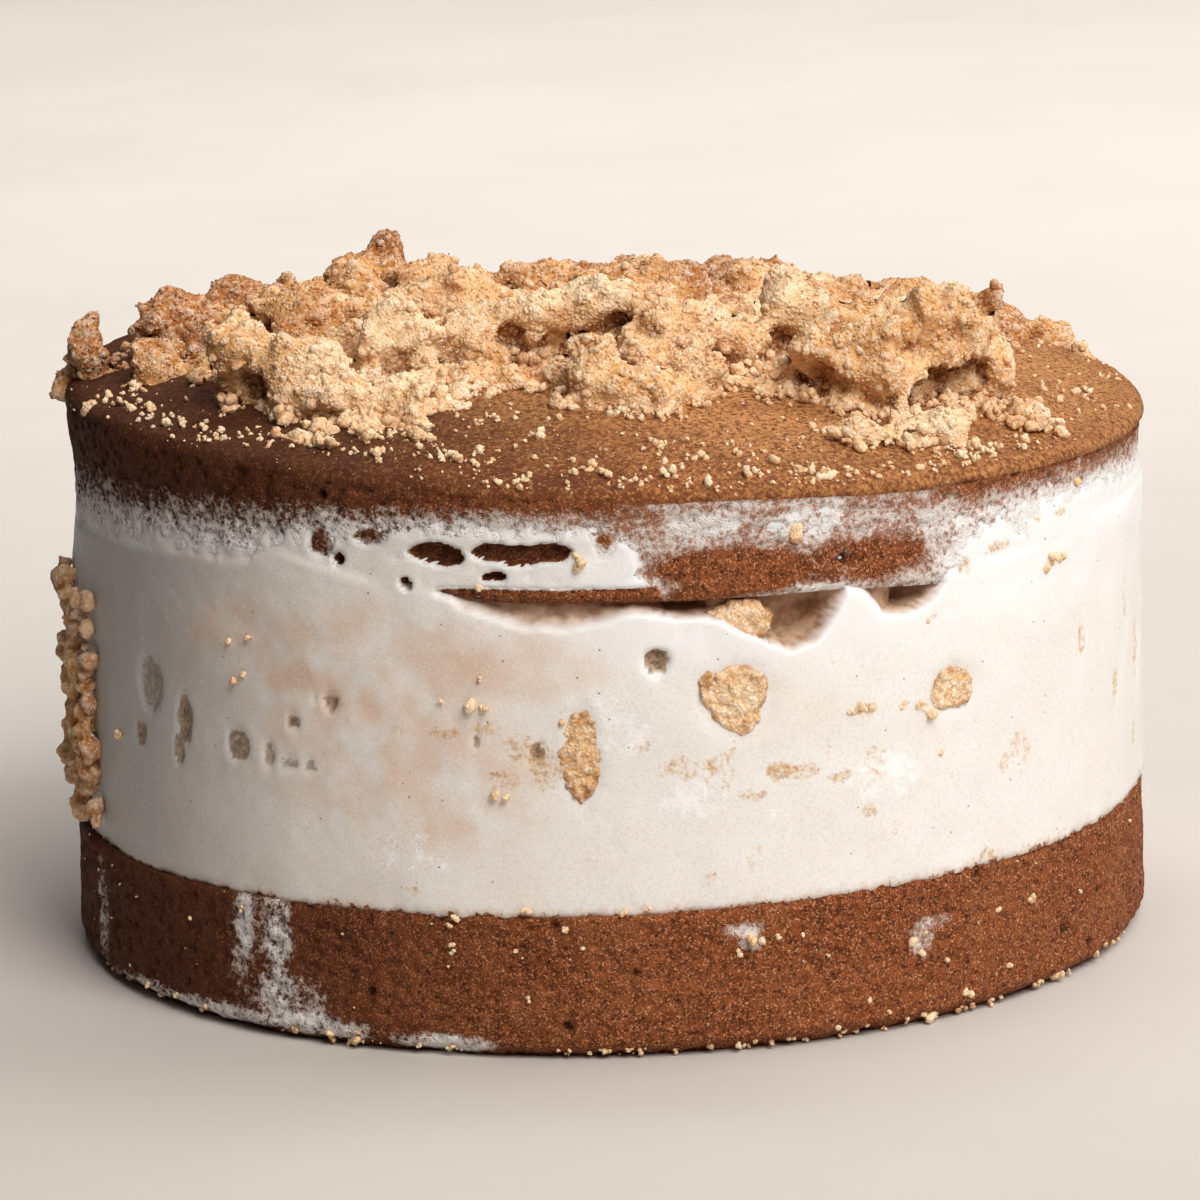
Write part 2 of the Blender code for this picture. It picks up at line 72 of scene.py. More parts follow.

# The places in the tables below were read off the photo. A separate script turned the pixels of many
# of them into azimuths and heights, through the camera fitted to the photo.

# The upper end of the frost on the upper sponge's side, and of the part where it is solid white
FROST_TOP = (
    (-90, 72.5), (-74, 73.5), (-60, 74.4), (-54, 74.6), (-46, 75.2), (-38, 75.7), (-32, 76.0),
    (-21, 76.0), (-8, 76.0), (8, 75.8), (16, 75.0), (24, 74.2), (32, 73.6), (39, 73.8),
    (47, 74.0), (56, 74.0), (65, 73.4), (79, 72.4), (95, 70.5),
)
SOLID_TOP = (
    (-180, 64.0), (-90, 62.5), (-75, 63.5), (-60, 65.0), (-46, 66.0), (-40, 66.5), (-35, 69.4),
    (-29, 70.2), (-23, 71.2), (-14, 71.8), (-4, 71.4), (-1, 70.6), (2, 68.5), (4, 65.0), (36, 61.5),
    (38, 64.3), (42, 66.4), (49, 66.2), (52, 68.0), (57, 68.3), (70, 67.4), (79, 66.4), (95, 65.0),
    (180, 64.0),
)
# How white the frost is over the bare lip, where it never becomes solid
LIP_FROST = 0.46
LIP_HAZE = 0.42
LIP_FROST_FOOT = 68.4
# Patches on the upper sponge's side as (azimuth, height, half width, half height, change of frost)
TOP_PATCHES = (
    (-0.6, 70.4, 1.0, 1.6, -0.9),
    (-30.7, 69.6, 1.6, 1.7, -0.8),
    (-25.0, 71.0, 2.0, 1.0, -0.8),
    (11.6, 65.8, 9.0, 3.0, -0.5),
    (25.6, 65.9, 9.5, 2.8, -0.5),
    (-3.0, 68.6, 1.8, 2.6, 0.7),
    (0.4, 68.6, 2.4, 2.0, 0.5),
    (4.5, 64.6, 4.0, 1.2, 0.45),
    (9.7, 72.8, 4.5, 1.6, 0.25),
    (20.2, 71.8, 5.0, 1.8, 0.25),
    (20.2, 62.6, 6.4, 0.8, 0.3),
    (36.8, 70.0, 4.5, 2.0, 0.2),
    (48.0, 70.0, 5.0, 2.0, 0.15),
)
# Holes in the frost that show dark sponge, as (azimuth, height, half width, half height)
HOLES = (
    (-18.4, 69.4, 2.6, 1.2), (-16.9, 68.9, 2.2, 1.2), (-12.0, 69.6, 2.2, 1.0), (-9.2, 69.2, 3.2, 1.15),
    (-6.0, 69.6, 2.4, 1.05), (-11.5, 66.4, 0.9, 0.55), (-21.3, 65.2, 0.6, 0.7), (-20.9, 64.5, 0.4, 0.5),
    (-28.6, 67.7, 0.7, 0.8), (-12.6, 66.3, 0.5, 0.4),
)
# Patches on the lower sponge's side, in the same form
BASE_PATCHES = (
    (-41.3, 16.5, 1.4, 5.4, 0.42),
    (-36.6, 14.8, 2.0, 5.2, 0.38),
    (-38.8, 11.5, 5.4, 7.5, 0.26),
    (-35.0, 6.2, 5.0, 3.0, 0.36),
    (-32.0, 2.6, 7.0, 1.6, 0.62),
    (-45.0, 2.0, 9.0, 1.4, 0.60),
    (-58.0, 2.0, 10.0, 1.1, 0.50),
    (-18.0, 1.8, 6.0, 1.4, 0.75),
    (33.0, 12.5, 1.6, 2.4, 0.40),
    (35.0, 14.5, 2.2, 0.9, 0.35),
    (13.0, 17.2, 2.6, 0.9, 0.50),
    (14.0, 15.6, 1.6, 1.2, 0.35),
    (-70.0, 9.0, 2.0, 7.0, 0.40),
)

# The ice cream's upper edge below the bare lip, and how far it is hollowed out above that edge
SLOT_EDGE = (
    (-17.2, 64.3), (-15.7, 62.4), (-13.6, 61.4), (-10.6, 60.2), (-6.6, 59.6), (-3.6, 59.7),
    (-0.5, 60.7), (2.0, 61.5), (4.5, 61.2), (6.4, 60.7), (9.5, 60.2), (11.5, 59.5), (13.5, 57.9),
    (16.1, 56.5), (18.7, 55.2), (21.1, 56.1), (22.7, 58.2), (23.6, 60.3), (24.6, 62.4),
    (26.0, 61.9), (27.5, 60.2), (28.9, 58.4), (30.6, 57.8), (33.1, 57.9), (35.0, 59.0), (36.3, 61.0),
)
SLOT_DEPTH = (
    (-17.2, 0.2), (-15.0, 1.8), (-9.0, 2.8), (0.0, 2.8), (4.0, 3.2), (5.5, 7.0), (9.2, 7.0),
    (10.5, 3.4), (13.5, 3.8), (15.0, 8.0), (22.3, 8.0), (23.6, 5.0), (24.6, 0.4), (26.2, 0.4),
    (28.0, 2.6), (31.0, 3.6), (33.0, 7.0), (35.5, 7.0), (36.3, 1.0),
)
SLOT_RUN = (
    (-17.2, 2.4), (0.0, 2.2), (4.5, 1.0), (9.5, 1.0), (14.0, 1.6), (24.0, 1.6), (28.0, 2.4), (32.0, 1.2),
)

# Pits and specks in the ice cream as (azimuth, height, half width, half height, depth, tone)
PITS = (
    (13.0, 48.8, 4.5, 4.8, 0.5, 0.20),
    (37.7, 46.3, 4.0, 2.8, 0.4, 0.20),
    (-3.1, 42.0, 2.2, 6.1, 0.4, 0.25),
    (4.6, 54.6, 1.45, 1.45, 1.5, 0.95),
    (-29.7, 48.0, 1.1, 1.1, 0.7, 0.75),
    (-34.3, 44.7, 0.9, 0.9, 0.5, 0.85),
    (-31.6, 48.6, 0.4, 0.4, 0.3, 0.5),
    (-41.8, 40.2, 2.0, 2.0, 0.5, 0.80),
    (-50.3, 42.0, 1.5, 2.9, 0.6, 0.85),
    (-37.7, 39.6, 0.8, 1.7, 0.4, 0.60),
    (-35.0, 39.0, 1.3, 1.0, 0.3, 0.60),
    (-32.4, 38.6, 0.9, 0.8, 0.3, 0.60),
    (-51.5, 37.5, 1.0, 2.0, 0.4, 0.75),
    (-59.0, 38.2, 1.4, 1.6, 0.4, 0.85),
    (-56.5, 45.5, 2.6, 3.4, 0.7, 0.55),
    (-13.9, 43.9, 0.5, 0.7, 0.4, 0.90),
    (-7.6, 42.6, 0.9, 1.0, 0.4, 0.95),
    (59.2, 47.5, 0.8, 2.2, 0.3, 0.10),
    (68.3, 38.4, 0.8, 1.9, 0.3, 0.10),
    (78.0, 41.0, 2.2, 4.0, 0.4, 0.10),
)
# Tan stains of crumb under the ice cream's skin as (azimuth, height, half width, half height, strength)
STAINS = (
    (-17.2, 44.6, 2.6, 0.9, 0.9), (-12.6, 45.6, 1.6, 1.1, 0.8), (-9.2, 43.0, 2.4, 1.8, 0.9),
    (-6.6, 40.2, 2.4, 2.8, 0.8), (-11.0, 38.6, 2.6, 1.4, 0.8), (-14.6, 41.6, 2.0, 1.6, 0.5),
    (-21.8, 45.2, 1.0, 0.7, 0.8), (3.0, 43.0, 1.2, 1.0, 0.7), (6.6, 39.6, 2.8, 1.8, 0.7),
    (10.6, 38.8, 2.0, 2.4, 0.7), (11.8, 42.0, 0.8, 0.8, 0.7), (16.8, 38.6, 1.8, 1.4, 1.0),
    (19.6, 38.2, 2.4, 1.1, 0.8), (14.0, 35.4, 1.8, 1.0, 0.9), (23.6, 37.0, 1.8, 1.0, 0.8),
    (27.4, 37.6, 1.8, 2.4, 0.8), (22.4, 40.6, 1.4, 1.0, 0.6), (47.0, 35.6, 2.0, 2.8, 0.8),
    (44.4, 33.8, 1.0, 1.6, 0.9), (40.0, 41.0, 1.0, 1.6, 0.6), (9.6, 24.6, 1.0, 1.0, 0.8),
    (14.4, 26.2, 1.6, 2.6, 0.5), (26.8, 31.4, 1.3, 1.0, 0.9), (29.6, 28.4, 0.9, 0.9, 0.6),
    (-23.6, 29.8, 2.2, 1.2, 0.5), (-21.0, 22.9, 1.1, 1.0, 0.7), (41.6, 21.9, 1.4, 1.3, 0.8),
    (23.0, 53.2, 2.4, 0.8, 0.5), (38.8, 62.8, 1.2, 1.4, 0.8), (43.6, 64.4, 2.4, 0.8, 0.9),
    (54.0, 67.0, 1.4, 0.9, 0.7), (50.0, 67.2, 1.0, 0.9, 0.7), (35.0, 57.0, 0.6, 0.7, 0.8),
    (-4.0, 47.6, 1.6, 1.4, 0.3), (37.0, 34.8, 1.2, 1.4, 0.4), (60.0, 30.0, 1.4, 2.4, 0.3),
    (26.4, 45.6, 1.9, 0.9, 1.1), (31.2, 45.3, 0.8, 0.7, 1.0), (33.4, 44.7, 1.3, 0.9, 0.9),
    (59.2, 47.5, 0.9, 2.4, 1.0), (68.3, 38.4, 0.9, 2.1, 0.9), (78.0, 41.0, 2.2, 4.0, 0.8),
    (72.0, 50.0, 0.9, 4.0, 0.6), (76.0, 29.0, 1.0, 2.0, 0.8),
)
# Areas where the ice cream is rough and frosty white
SUGARED = (
    (0.5, 46.0, 4.5, 5.0, 0.8), (8.0, 35.5, 5.0, 3.0, 0.9), (29.0, 36.0, 6.0, 3.5, 0.9),
    (-21.0, 28.0, 7.0, 3.0, 0.7), (15.0, 32.0, 5.0, 2.0, 0.6), (40.0, 62.0, 5.0, 4.0, 0.3),
    (24.0, 27.0, 4.0, 3.0, 0.3), (-40.0, 39.0, 5.0, 3.0, 0.4),
)
# Pinkish beige areas, where the ice cream has begun to melt
WARM = (
    (-24.0, 54.0, 13.0, 7.0, 0.60), (-8.0, 54.0, 9.0, 4.0, 0.50), (-18.0, 38.0, 13.0, 8.0, 0.60),
    (-40.0, 54.0, 10.0, 6.0, 0.7), (16.0, 47.0, 8.0, 4.0, 0.2), (-32.0, 42.0, 10.0, 8.0, 0.5),
)

# The larger loose crumbs on the dome as (azimuth, distance from the axis)
DOME_CRUMBS = (
    (-70.8, 72.0), (-66.8, 72.1), (-63.5, 72.2), (-58.8, 72.1), (-54.6, 72.3), (-64.7, 70.1),
    (-71.4, 68.1), (-61.0, 70.5), (-48.7, 71.4), (-46.3, 70.9), (-42.9, 71.4), (-42.5, 70.0),
    (-40.1, 70.8), (-44.6, 72.4), (-33.6, 70.5), (-32.7, 69.7), (-25.4, 70.3), (-24.1, 72.2),
    (-25.7, 65.1), (-21.1, 67.0), (-19.1, 69.5), (-17.9, 67.8), (-15.5, 70.3), (-13.7, 70.7),
    (-16.6, 68.9), (-18.0, 69.3), (-10.3, 75.3), (-8.7, 75.0), (-7.8, 74.5), (-13.9, 67.2),
    (-7.6, 61.6), (-5.7, 54.7), (-11.9, 55.4), (-16.5, 57.7), (-2.8, 72.2), (-0.9, 70.5),
    (0.6, 73.2), (3.4, 74.0), (7.2, 72.1), (7.6, 73.2), (10.7, 75.2), (15.3, 73.4), (16.4, 72.2),
    (19.3, 69.8), (22.5, 73.1), (22.5, 75.2), (21.4, 72.4), (23.7, 75.0), (23.8, 66.0),
    (29.1, 62.1), (28.7, 75.0), (31.5, 74.2), (34.4, 75.0), (37.9, 74.6), (42.0, 75.0),
    (45.6, 74.0), (47.8, 73.0), (41.1, 73.4), (39.0, 71.5), (50.5, 74.6), (53.0, 72.5),
    (7.1, 68.7), (7.0, 64.4), (11.2, 67.5), (6.6, 62.7), (15.6, 66.4), (5.7, 54.3),
    (70.0, 68.0), (73.0, 65.0), (76.8, 68.5), (79.7, 65.9), (79.2, 70.2), (76.7, 74.5),
)
# Crumbs on the lower sponge's side as (azimuth, height, size)
BASE_CRUMBS = (
    (-16.1, 19.6, 0.9), (-16.9, 18.7, 0.6), (-8.6, 20.9, 1.0), (-4.9, 18.1, 0.9), (0.9, 20.4, 0.9),
    (3.4, 21.0, 0.6), (-3.3, 15.8, 0.6), (-16.7, 15.9, 0.8), (-16.5, 14.8, 0.6), (-17.0, 12.9, 0.4),
    (-10.0, 15.5, 0.5), (-9.3, 14.4, 0.4), (-4.5, 14.2, 0.4), (12.7, 13.8, 0.8), (13.8, 15.9, 1.4),
    (15.0, 15.4, 1.3), (16.6, 15.9, 0.8), (19.3, 15.7, 0.6), (-52.5, 2.6, 0.8), (-30.6, 2.0, 1.0),
    (-27.5, 1.6, 0.9), (-20.6, 1.3, 0.7), (-17.3, 1.2, 0.6), (31.8, 12.2, 1.2), (32.8, 10.6, 0.9),
    (33.6, 13.2, 0.6), (36.2, 8.7, 1.1), (43.3, 13.9, 0.8), (48.8, 13.6, 0.9), (45.0, 5.6, 0.8),
    (38.7, 3.4, 1.0), (26.6, 5.2, 0.9), (20.8, 13.3, 0.6), (19.3, 12.0, 0.4), (22.0, 12.4, 0.5),
    (54.5, 1.2, 1.6), (34.6, 0.9, 1.3), (12.4, 1.3, 0.9), (-0.7, 1.2, 0.7), (2.3, 1.2, 0.9),
    (9.5, 1.0, 0.8), (6.0, 0.8, 0.6), (-62.0, 4.0, 0.7), (-58.0, 2.6, 0.9), (-47.5, 2.2, 0.8),
    (-71.0, 15.0, 0.5), (-66.0, 17.2, 0.4), (-35.4, 1.7, 0.8), (58.0, 12.0, 0.5), (29.0, 3.0, 0.6),
    (23.0, 2.0, 1.0), (16.0, 1.0, 0.7), (43.0, 0.9, 0.8), (64.0, 2.4, 0.6), (40.5, 12.8, 0.4),
)
# Crumbs caught on the ice cream and its frost as (azimuth, height, size)
ICE_CRUMBS = (
    (-13.9, 49.0, 1.1), (-12.7, 48.6, 1.0), (-17.0, 49.4, 0.4), (-12.9, 52.4, 0.4), (54.2, 60.0, 1.5),
    (52.9, 60.4, 1.1), (25.2, 45.7, 1.0), (26.6, 45.6, 1.0), (27.6, 45.5, 0.7), (31.2, 45.0, 0.8),
    (33.0, 44.8, 0.8), (34.3, 43.6, 1.0), (-11.6, 36.7, 0.8), (-10.4, 36.6, 0.7), (-4.6, 46.8, 0.7),
    (-2.4, 68.4, 1.0), (-12.7, 64.9, 0.7), (19.8, 71.2, 1.3), (-27.0, 46.0, 0.3), (-40.3, 50.2, 0.7),
    (-41.6, 49.2, 0.6), (-39.4, 55.6, 0.6), (-42.0, 54.8, 0.5), (-63.4, 36.6, 0.8), (58.0, 70.2, 0.8),
    (36.0, 38.0, 0.6), (34.6, 56.2, 0.6),
)


def smooth_step(value):
    value = np.clip(value, 0.0, 1.0)
    return value * value * (3.0 - 2.0 * value)


def between(azimuths, points):
    """The second number of the listed pairs, read between them at each azimuth, going once round."""
    turns = [point[0] for point in points]
    return np.interp(azimuths, turns, [point[1] for point in points])


def hashed(cells, seed):
    """A repeatable random number from 0 to 1 for each row of three whole numbers."""
    mixed = cells[..., 0] * 73856093 ^ cells[..., 1] * 19349663 ^ cells[..., 2] * 83492791
    mixed = (mixed + seed * 668265263) ^ (mixed >> 15)
    mixed = mixed * 1274126177
    mixed = mixed ^ (mixed >> 16)
    return (mixed & 0xFFFFFF) / float(0x1000000)


def smooth_noise(points, size, seed):
    """Noise from -1 to 1 at the points, with features of a size."""
    place = points / size
    cell = np.floor(place).astype(np.int64)
    part = place - cell
    part = part * part * (3.0 - 2.0 * part)
    total = np.zeros(points.shape[:-1])
    for corner in itertools.product((0, 1), repeat=3):
        weight = np.prod(np.where(corner, part, 1.0 - part), axis=-1)
        total += weight * hashed(cell + np.array(corner), seed)
    return 2.0 * total - 1.0


def layered_noise(points, size, seed, octaves=3):
    """Several layers of noise, each half the size and half the strength of the one before."""
    total = np.zeros(points.shape[:-1])
    for octave in range(octaves):
        total += 0.5**octave * smooth_noise(points, size * 0.5**octave, seed + octave)
    return total


def cell_noise(points, size, seed):
    """The distance to the nearest of many scattered centres, in sizes, and a random number of it."""
    place = points / size
    cell = np.floor(place).astype(np.int64)
    nearest = np.full(points.shape[:-1], 9.0)
    token = np.zeros(points.shape[:-1])
    for step in itertools.product((-1, 0, 1), repeat=3):
        other = cell + np.array(step)
        centre = other + np.stack([hashed(other, seed + axis) for axis in range(3)], axis=-1)
        gap = np.sqrt(((place - centre) ** 2).sum(axis=-1))
        closer = gap < nearest
        nearest = np.where(closer, gap, nearest)
        token = np.where(closer, hashed(other, seed + 7), token)
    return nearest, token


def on_side(azimuths, radius, heights):
    """Points on an upright side, one row of points for each row of heights."""
    angle = np.radians(azimuths)
    x = radius * np.sin(angle)
    y = -radius * np.cos(angle)
    return np.stack([x, y, np.broadcast_to(heights, x.shape)], axis=-1)


def spots(azimuths, heights, radius, listed):
    """The sum of soft oval patches on a side: each is (azimuth, height, half width, half height, amount)."""
    total = np.zeros(np.broadcast(azimuths, heights).shape)
    for azimuth, height, half_width, half_height, amount in listed:
        across = radius * np.radians(azimuths - azimuth) / half_width
        along = (heights - height) / half_height
        total += amount * smooth_step(1.9 - 1.25 * np.sqrt(across**2 + along**2))
    return total


def read_numbers(items, key, width, kind=np.float32):
    """A property of all items of a mesh, one row for each item."""
    numbers = np.zeros(len(items) * width, kind)
    items.foreach_get(key, numbers)
    return numbers.reshape(-1, width)


def read_points(mesh):
    """The points of a mesh in millimetres."""
    return read_numbers(mesh.vertices, "co", 3).astype(float) / MM


def node_points(name):
    return read_points(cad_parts[name].data)


def edge_heights(name, azimuths, pick):
    """The highest or lowest outer point of a node at each azimuth, from the points of its solid."""
    points = node_points(name)
    distance = np.hypot(points[:, 0], points[:, 1])
    outer = points[distance > 0.955 * distance.max()]
    turns = np.degrees(np.arctan2(outer[:, 0], -outer[:, 1]))
    centres = np.arange(-180.0, 180.0, 12.0)
    found = [pick(outer[np.abs((turns - centre + 180.0) % 360.0 - 180.0) < 8.0, 2]) for centre in centres]
    return np.interp((azimuths + 180.0) % 360.0 - 180.0, centres, found, period=360.0)


def layer_columns():
    """Azimuths of the layers' columns, closer together round the front."""
    front = np.arange(-FRONT_HALF, FRONT_HALF, FRONT_STEP)
    back = np.arange(FRONT_HALF, 360.0 - FRONT_HALF, BACK_STEP)
    turns = np.concatenate([front, back])
    return np.where(turns > 180.0, turns - 360.0, turns)


AZIMUTHS = layer_columns()
base_low, base_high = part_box("base_cake")
SPONGE_RADIUS = 0.5 * (base_high.x - base_low.x) / MM
top_points = node_points("top_cake")
TOP_SHIFT = 0.5 * (top_points[:, 0].max() + top_points[:, 0].min())
RIM_HEIGHT = 0.5 * (edge_heights("top_cake", 0.0, max) + edge_heights("top_cake", 180.0, max))
DOME_RISE = top_points[:, 2].max() - RIM_HEIGHT
BASE_EDGE = edge_heights("base_cake", AZIMUTHS, max)
TOP_FOOT = np.minimum(
    edge_heights("top_cake", AZIMUTHS, min), between(AZIMUTHS, SOLID_TOP) - FOOT_BELOW_FROST
)


def side_wave(points, seed):
    """The slow waviness of a moulded side."""
    return 0.30 * smooth_noise(points, 24.0, seed) + 0.12 * smooth_noise(points, 9.0, seed + 1)


def frost_on_top(azimuths, heights):
    """How frosted the upper sponge's side is: 0 is bare, 1 is solid white."""
    top = between(azimuths, FROST_TOP)
    solid = between(azimuths, SOLID_TOP)
    density = np.clip((top - heights) / (top - solid), 0.0, 1.15)
    over_lip = smooth_step((azimuths + 1.0) / 8.0) * smooth_step((40.0 - azimuths) / 7.0)
    lip = LIP_FROST * smooth_step((top - heights) / 2.0) * smooth_step((heights - LIP_FROST_FOOT) / 2.0 + 0.5)
    patches = smooth_noise(on_side(azimuths, SPONGE_RADIUS, heights), 4.5, 38)
    lip = np.maximum(lip + 0.16 * patches, LIP_HAZE + 0.30 * patches * (lip < LIP_FROST))
    density = density * (1.0 - over_lip) + lip * over_lip
    under = smooth_step((azimuths + 18.5) / 2.0) * smooth_step((6.0 - azimuths) / 3.0)
    density -= 1.6 * under * smooth_step((64.9 - heights) / 0.7)
    behind = smooth_step((np.abs(azimuths) - 85.0) / 12.0)
    density = density * (1.0 - behind) + behind * np.clip((70.5 - heights) / 4.5, 0.0, 1.1)
    density = density + spots(azimuths, heights, SPONGE_RADIUS, TOP_PATCHES)
    return density - 2.4 * in_holes(azimuths, heights)


def in_holes(azimuths, heights):
    """1 inside the frost's holes and 0 outside, with a ragged edge."""
    listed = [(*hole, 1.0) for hole in HOLES]
    points = on_side(azimuths, SPONGE_RADIUS, heights)
    ragged = 0.30 * smooth_noise(points, 1.2, 36) + 0.15 * smooth_noise(points, 0.7, 37)
    inside = spots(azimuths, heights, SPONGE_RADIUS, listed)
    return smooth_step((inside + ragged * (inside > 0.01) - 0.25) / 0.5)


def top_side_radius(azimuths, heights):
    """The upper sponge's side without its pores, measured from the axis of the sponge."""
    points = on_side(azimuths, SPONGE_RADIUS, heights)
    above = np.clip(RIM_HEIGHT - heights, 0.0, 20.0)
    drawn_in = 0.9 * smooth_step(above / 9.0)
    return SPONGE_RADIUS - drawn_in + side_wave(points, 31) - 0.12 * smooth_noise(points, 3.0, 33)


def rim_heights(azimuths):
    """The height of the upper sponge's slightly uneven rim."""
    points = on_side(azimuths, SPONGE_RADIUS, np.zeros(azimuths.shape))
    return RIM_HEIGHT + RIM_SLOPE * points[..., 0] + 0.32 * layered_noise(points, 7.0, 76, 3)


def slot_depth(azimuths, heights):
    """How far the ice cream is hollowed out below the lip."""
    edge = between(azimuths, SLOT_EDGE)
    depth = between(azimuths, SLOT_DEPTH)
    run = between(azimuths, SLOT_RUN)
    inside = (azimuths > SLOT_EDGE[0][0]) & (azimuths < SLOT_EDGE[-1][0])
    points = on_side(azimuths, SPONGE_RADIUS, heights)
    ragged = 0.25 * smooth_noise(points, 1.1, 41) + 0.25 * smooth_noise(points, 3.0, 42)
    return np.where(inside, depth * smooth_step((heights - edge + ragged) / run + 0.35), 0.0)


def grid_piece(name, rows, values):
    """A closed skin over rows of points that go once round, each end closed by a point on the axis."""
    count, width = rows.shape[:2]
    ends = np.array([rows[0].mean(axis=0), rows[-1].mean(axis=0)])
    points = np.concatenate([rows.reshape(-1, 3), ends])
    index = np.arange(count * width).reshape(count, width)
    beside = np.roll(index, -1, axis=1)
    quads = np.stack([index[:-1], beside[:-1], beside[1:], index[1:]], axis=-1).reshape(-1, 4)
    low = np.stack([np.full(width, count * width), beside[0], index[0]], axis=-1)
    high = np.stack([np.full(width, count * width + 1), index[-1], beside[-1]], axis=-1)
    spread = {
        key: np.concatenate([value.reshape(-1), [value[0].mean(), value[-1].mean()]])
        for key, value in values.items()
    }
    return make_mesh_object(name, points, [quads, np.concatenate([low, high])], spread)


def make_mesh_object(name, points, faces, values, smooth=True):
    """A mesh from points in millimetres, groups of faces and a number or colour for each point."""
    corners = np.concatenate([group.reshape(-1) for group in faces]).astype(np.int32)
    sizes = np.concatenate([np.full(len(group), group.shape[1]) for group in faces])
    mesh = bpy.data.meshes.new(name)
    mesh.vertices.add(len(points))
    mesh.vertices.foreach_set("co", (points * MM).astype(np.float32).ravel())
    mesh.loops.add(len(corners))
    mesh.loops.foreach_set("vertex_index", corners)
    mesh.polygons.add(len(sizes))
    mesh.polygons.foreach_set("loop_start", (np.cumsum(sizes) - sizes).astype(np.int32))
    mesh.update(calc_edges=True)
    for key, value in values.items():
        if value.ndim == 1:
            attribute = mesh.attributes.new(key, "FLOAT", "POINT")
            attribute.data.foreach_set("value", value.astype(np.float32))
        else:
            attribute = mesh.attributes.new(key, "FLOAT_COLOR", "POINT")
            colour = np.concatenate([value, np.ones((len(value), 1))], axis=1)
            attribute.data.foreach_set("color", colour.astype(np.float32).ravel())
    if smooth:
        mesh.shade_smooth()
    made = bpy.data.objects.new(name, mesh)
    bpy.context.scene.collection.objects.link(made)
    return made


def dress(piece, finish, slot, *replaced):
    """Give a finished piece its material and its body, and hide the nodes that it stands for. The slot is not
    used.
    """
    piece.data.materials.clear()
    piece.data.materials.append(finish)
    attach(piece, "root")
    if replaced:
        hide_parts(*replaced)


def mesh_arrays(mesh):
    """Points in millimetres and triangles of a mesh."""
    mesh.calc_loop_triangles()
    return read_points(mesh), read_numbers(mesh.loop_triangles, "vertices", 3, np.int32)


def joined(parts):
    """Several (points, triangles) as one."""
    points, faces, count = [], [], 0
    for part_points, part_faces in parts:
        points.append(part_points)
        faces.append(part_faces + count)
        count += len(part_points)
    return np.concatenate(points), np.concatenate(faces)


def remeshed(points, faces, voxel, smoothing=0):
    """The outer skin of overlapping closed forms as one even mesh: points, quads and normals."""
    made = make_mesh_object("remeshing", points, [faces], {})
    modifier = made.modifiers.new("skin", "REMESH")
    modifier.mode = "VOXEL"
    modifier.voxel_size = voxel * MM
    if smoothing:
        smooth = made.modifiers.new("smooth", "SMOOTH")
        smooth.factor = 0.5
        smooth.iterations = smoothing
    graph = bpy.context.evaluated_depsgraph_get()
    mesh = made.evaluated_get(graph).to_mesh()
    new_points = read_points(mesh)
    normals = read_numbers(mesh.vertex_normals, "vector", 3).astype(float)
    quads = read_numbers(mesh.loops, "vertex_index", 1, np.int32).reshape(-1, 4)
    made.evaluated_get(graph).to_mesh_clear()
    bpy.data.objects.remove(made)
    return new_points, quads, normals


# How many times each grain's ball is cut flat
BROKEN_FACES = 5


def unit_ball(detail):
    shape = bmesh.new()
    bmesh.ops.create_icosphere(shape, subdivisions=detail, radius=1.0)
    points = np.array([vert.co[:] for vert in shape.verts])
    faces = np.array([[vert.index for vert in face.verts] for face in shape.faces])
    shape.free()
    return points, faces


def random_turns(count, rng):
    """Rotation matrices with even chances for all directions."""
    quaternion = rng.normal(size=(count, 4))
    w, x, y, z = (quaternion / np.linalg.norm(quaternion, axis=1, keepdims=True)).T
    return np.stack([
        np.stack([1 - 2 * (y * y + z * z), 2 * (x * y - z * w), 2 * (x * z + y * w)], axis=-1),
        np.stack([2 * (x * y + z * w), 1 - 2 * (x * x + z * z), 2 * (y * z - x * w)], axis=-1),
        np.stack([2 * (x * z - y * w), 2 * (y * z + x * w), 1 - 2 * (x * x + y * y)], axis=-1),
    ], axis=-2)


def grains(centres, sizes, rng, detail=1, rough=0.10):
    """Little crumbs with broken faces as one set of points and triangles."""
    ball, faces = unit_ball(detail)
    count = len(centres)
    shaped = ball[None] * (1.0 + rough * rng.normal(size=(count, len(ball), 1)).clip(-1.6, 1.6))
    for _ in range(BROKEN_FACES):
        normal = rng.normal(size=(count, 1, 3))
        normal /= np.linalg.norm(normal, axis=2, keepdims=True)
        beyond = (shaped * normal).sum(axis=2, keepdims=True) - rng.uniform(0.45, 0.8, (count, 1, 1))
        shaped = shaped - np.maximum(beyond, 0.0) * normal
    stretch = rng.uniform(0.8, 1.3, (count, 1, 3)) * sizes[:, None, None]
    shaped = np.einsum("nij,nvj->nvi", random_turns(count, rng), shaped * stretch)
    points = shaped + centres[:, None]
    offsets = (np.arange(count) * len(ball))[:, None, None]
    return points.reshape(-1, 3), (faces[None] + offsets).reshape(-1, 3)


def triangles_of(quads):
    """Each quad as two triangles: first all the first halves, then all the second ones."""
    return np.concatenate([quads[:, [0, 1, 2]], quads[:, [0, 2, 3]]])


def face_crosses(points, faces):
    """A vector along each triangle's normal, as long as twice its area."""
    corners = points[faces]
    return np.cross(corners[:, 1] - corners[:, 0], corners[:, 2] - corners[:, 0])


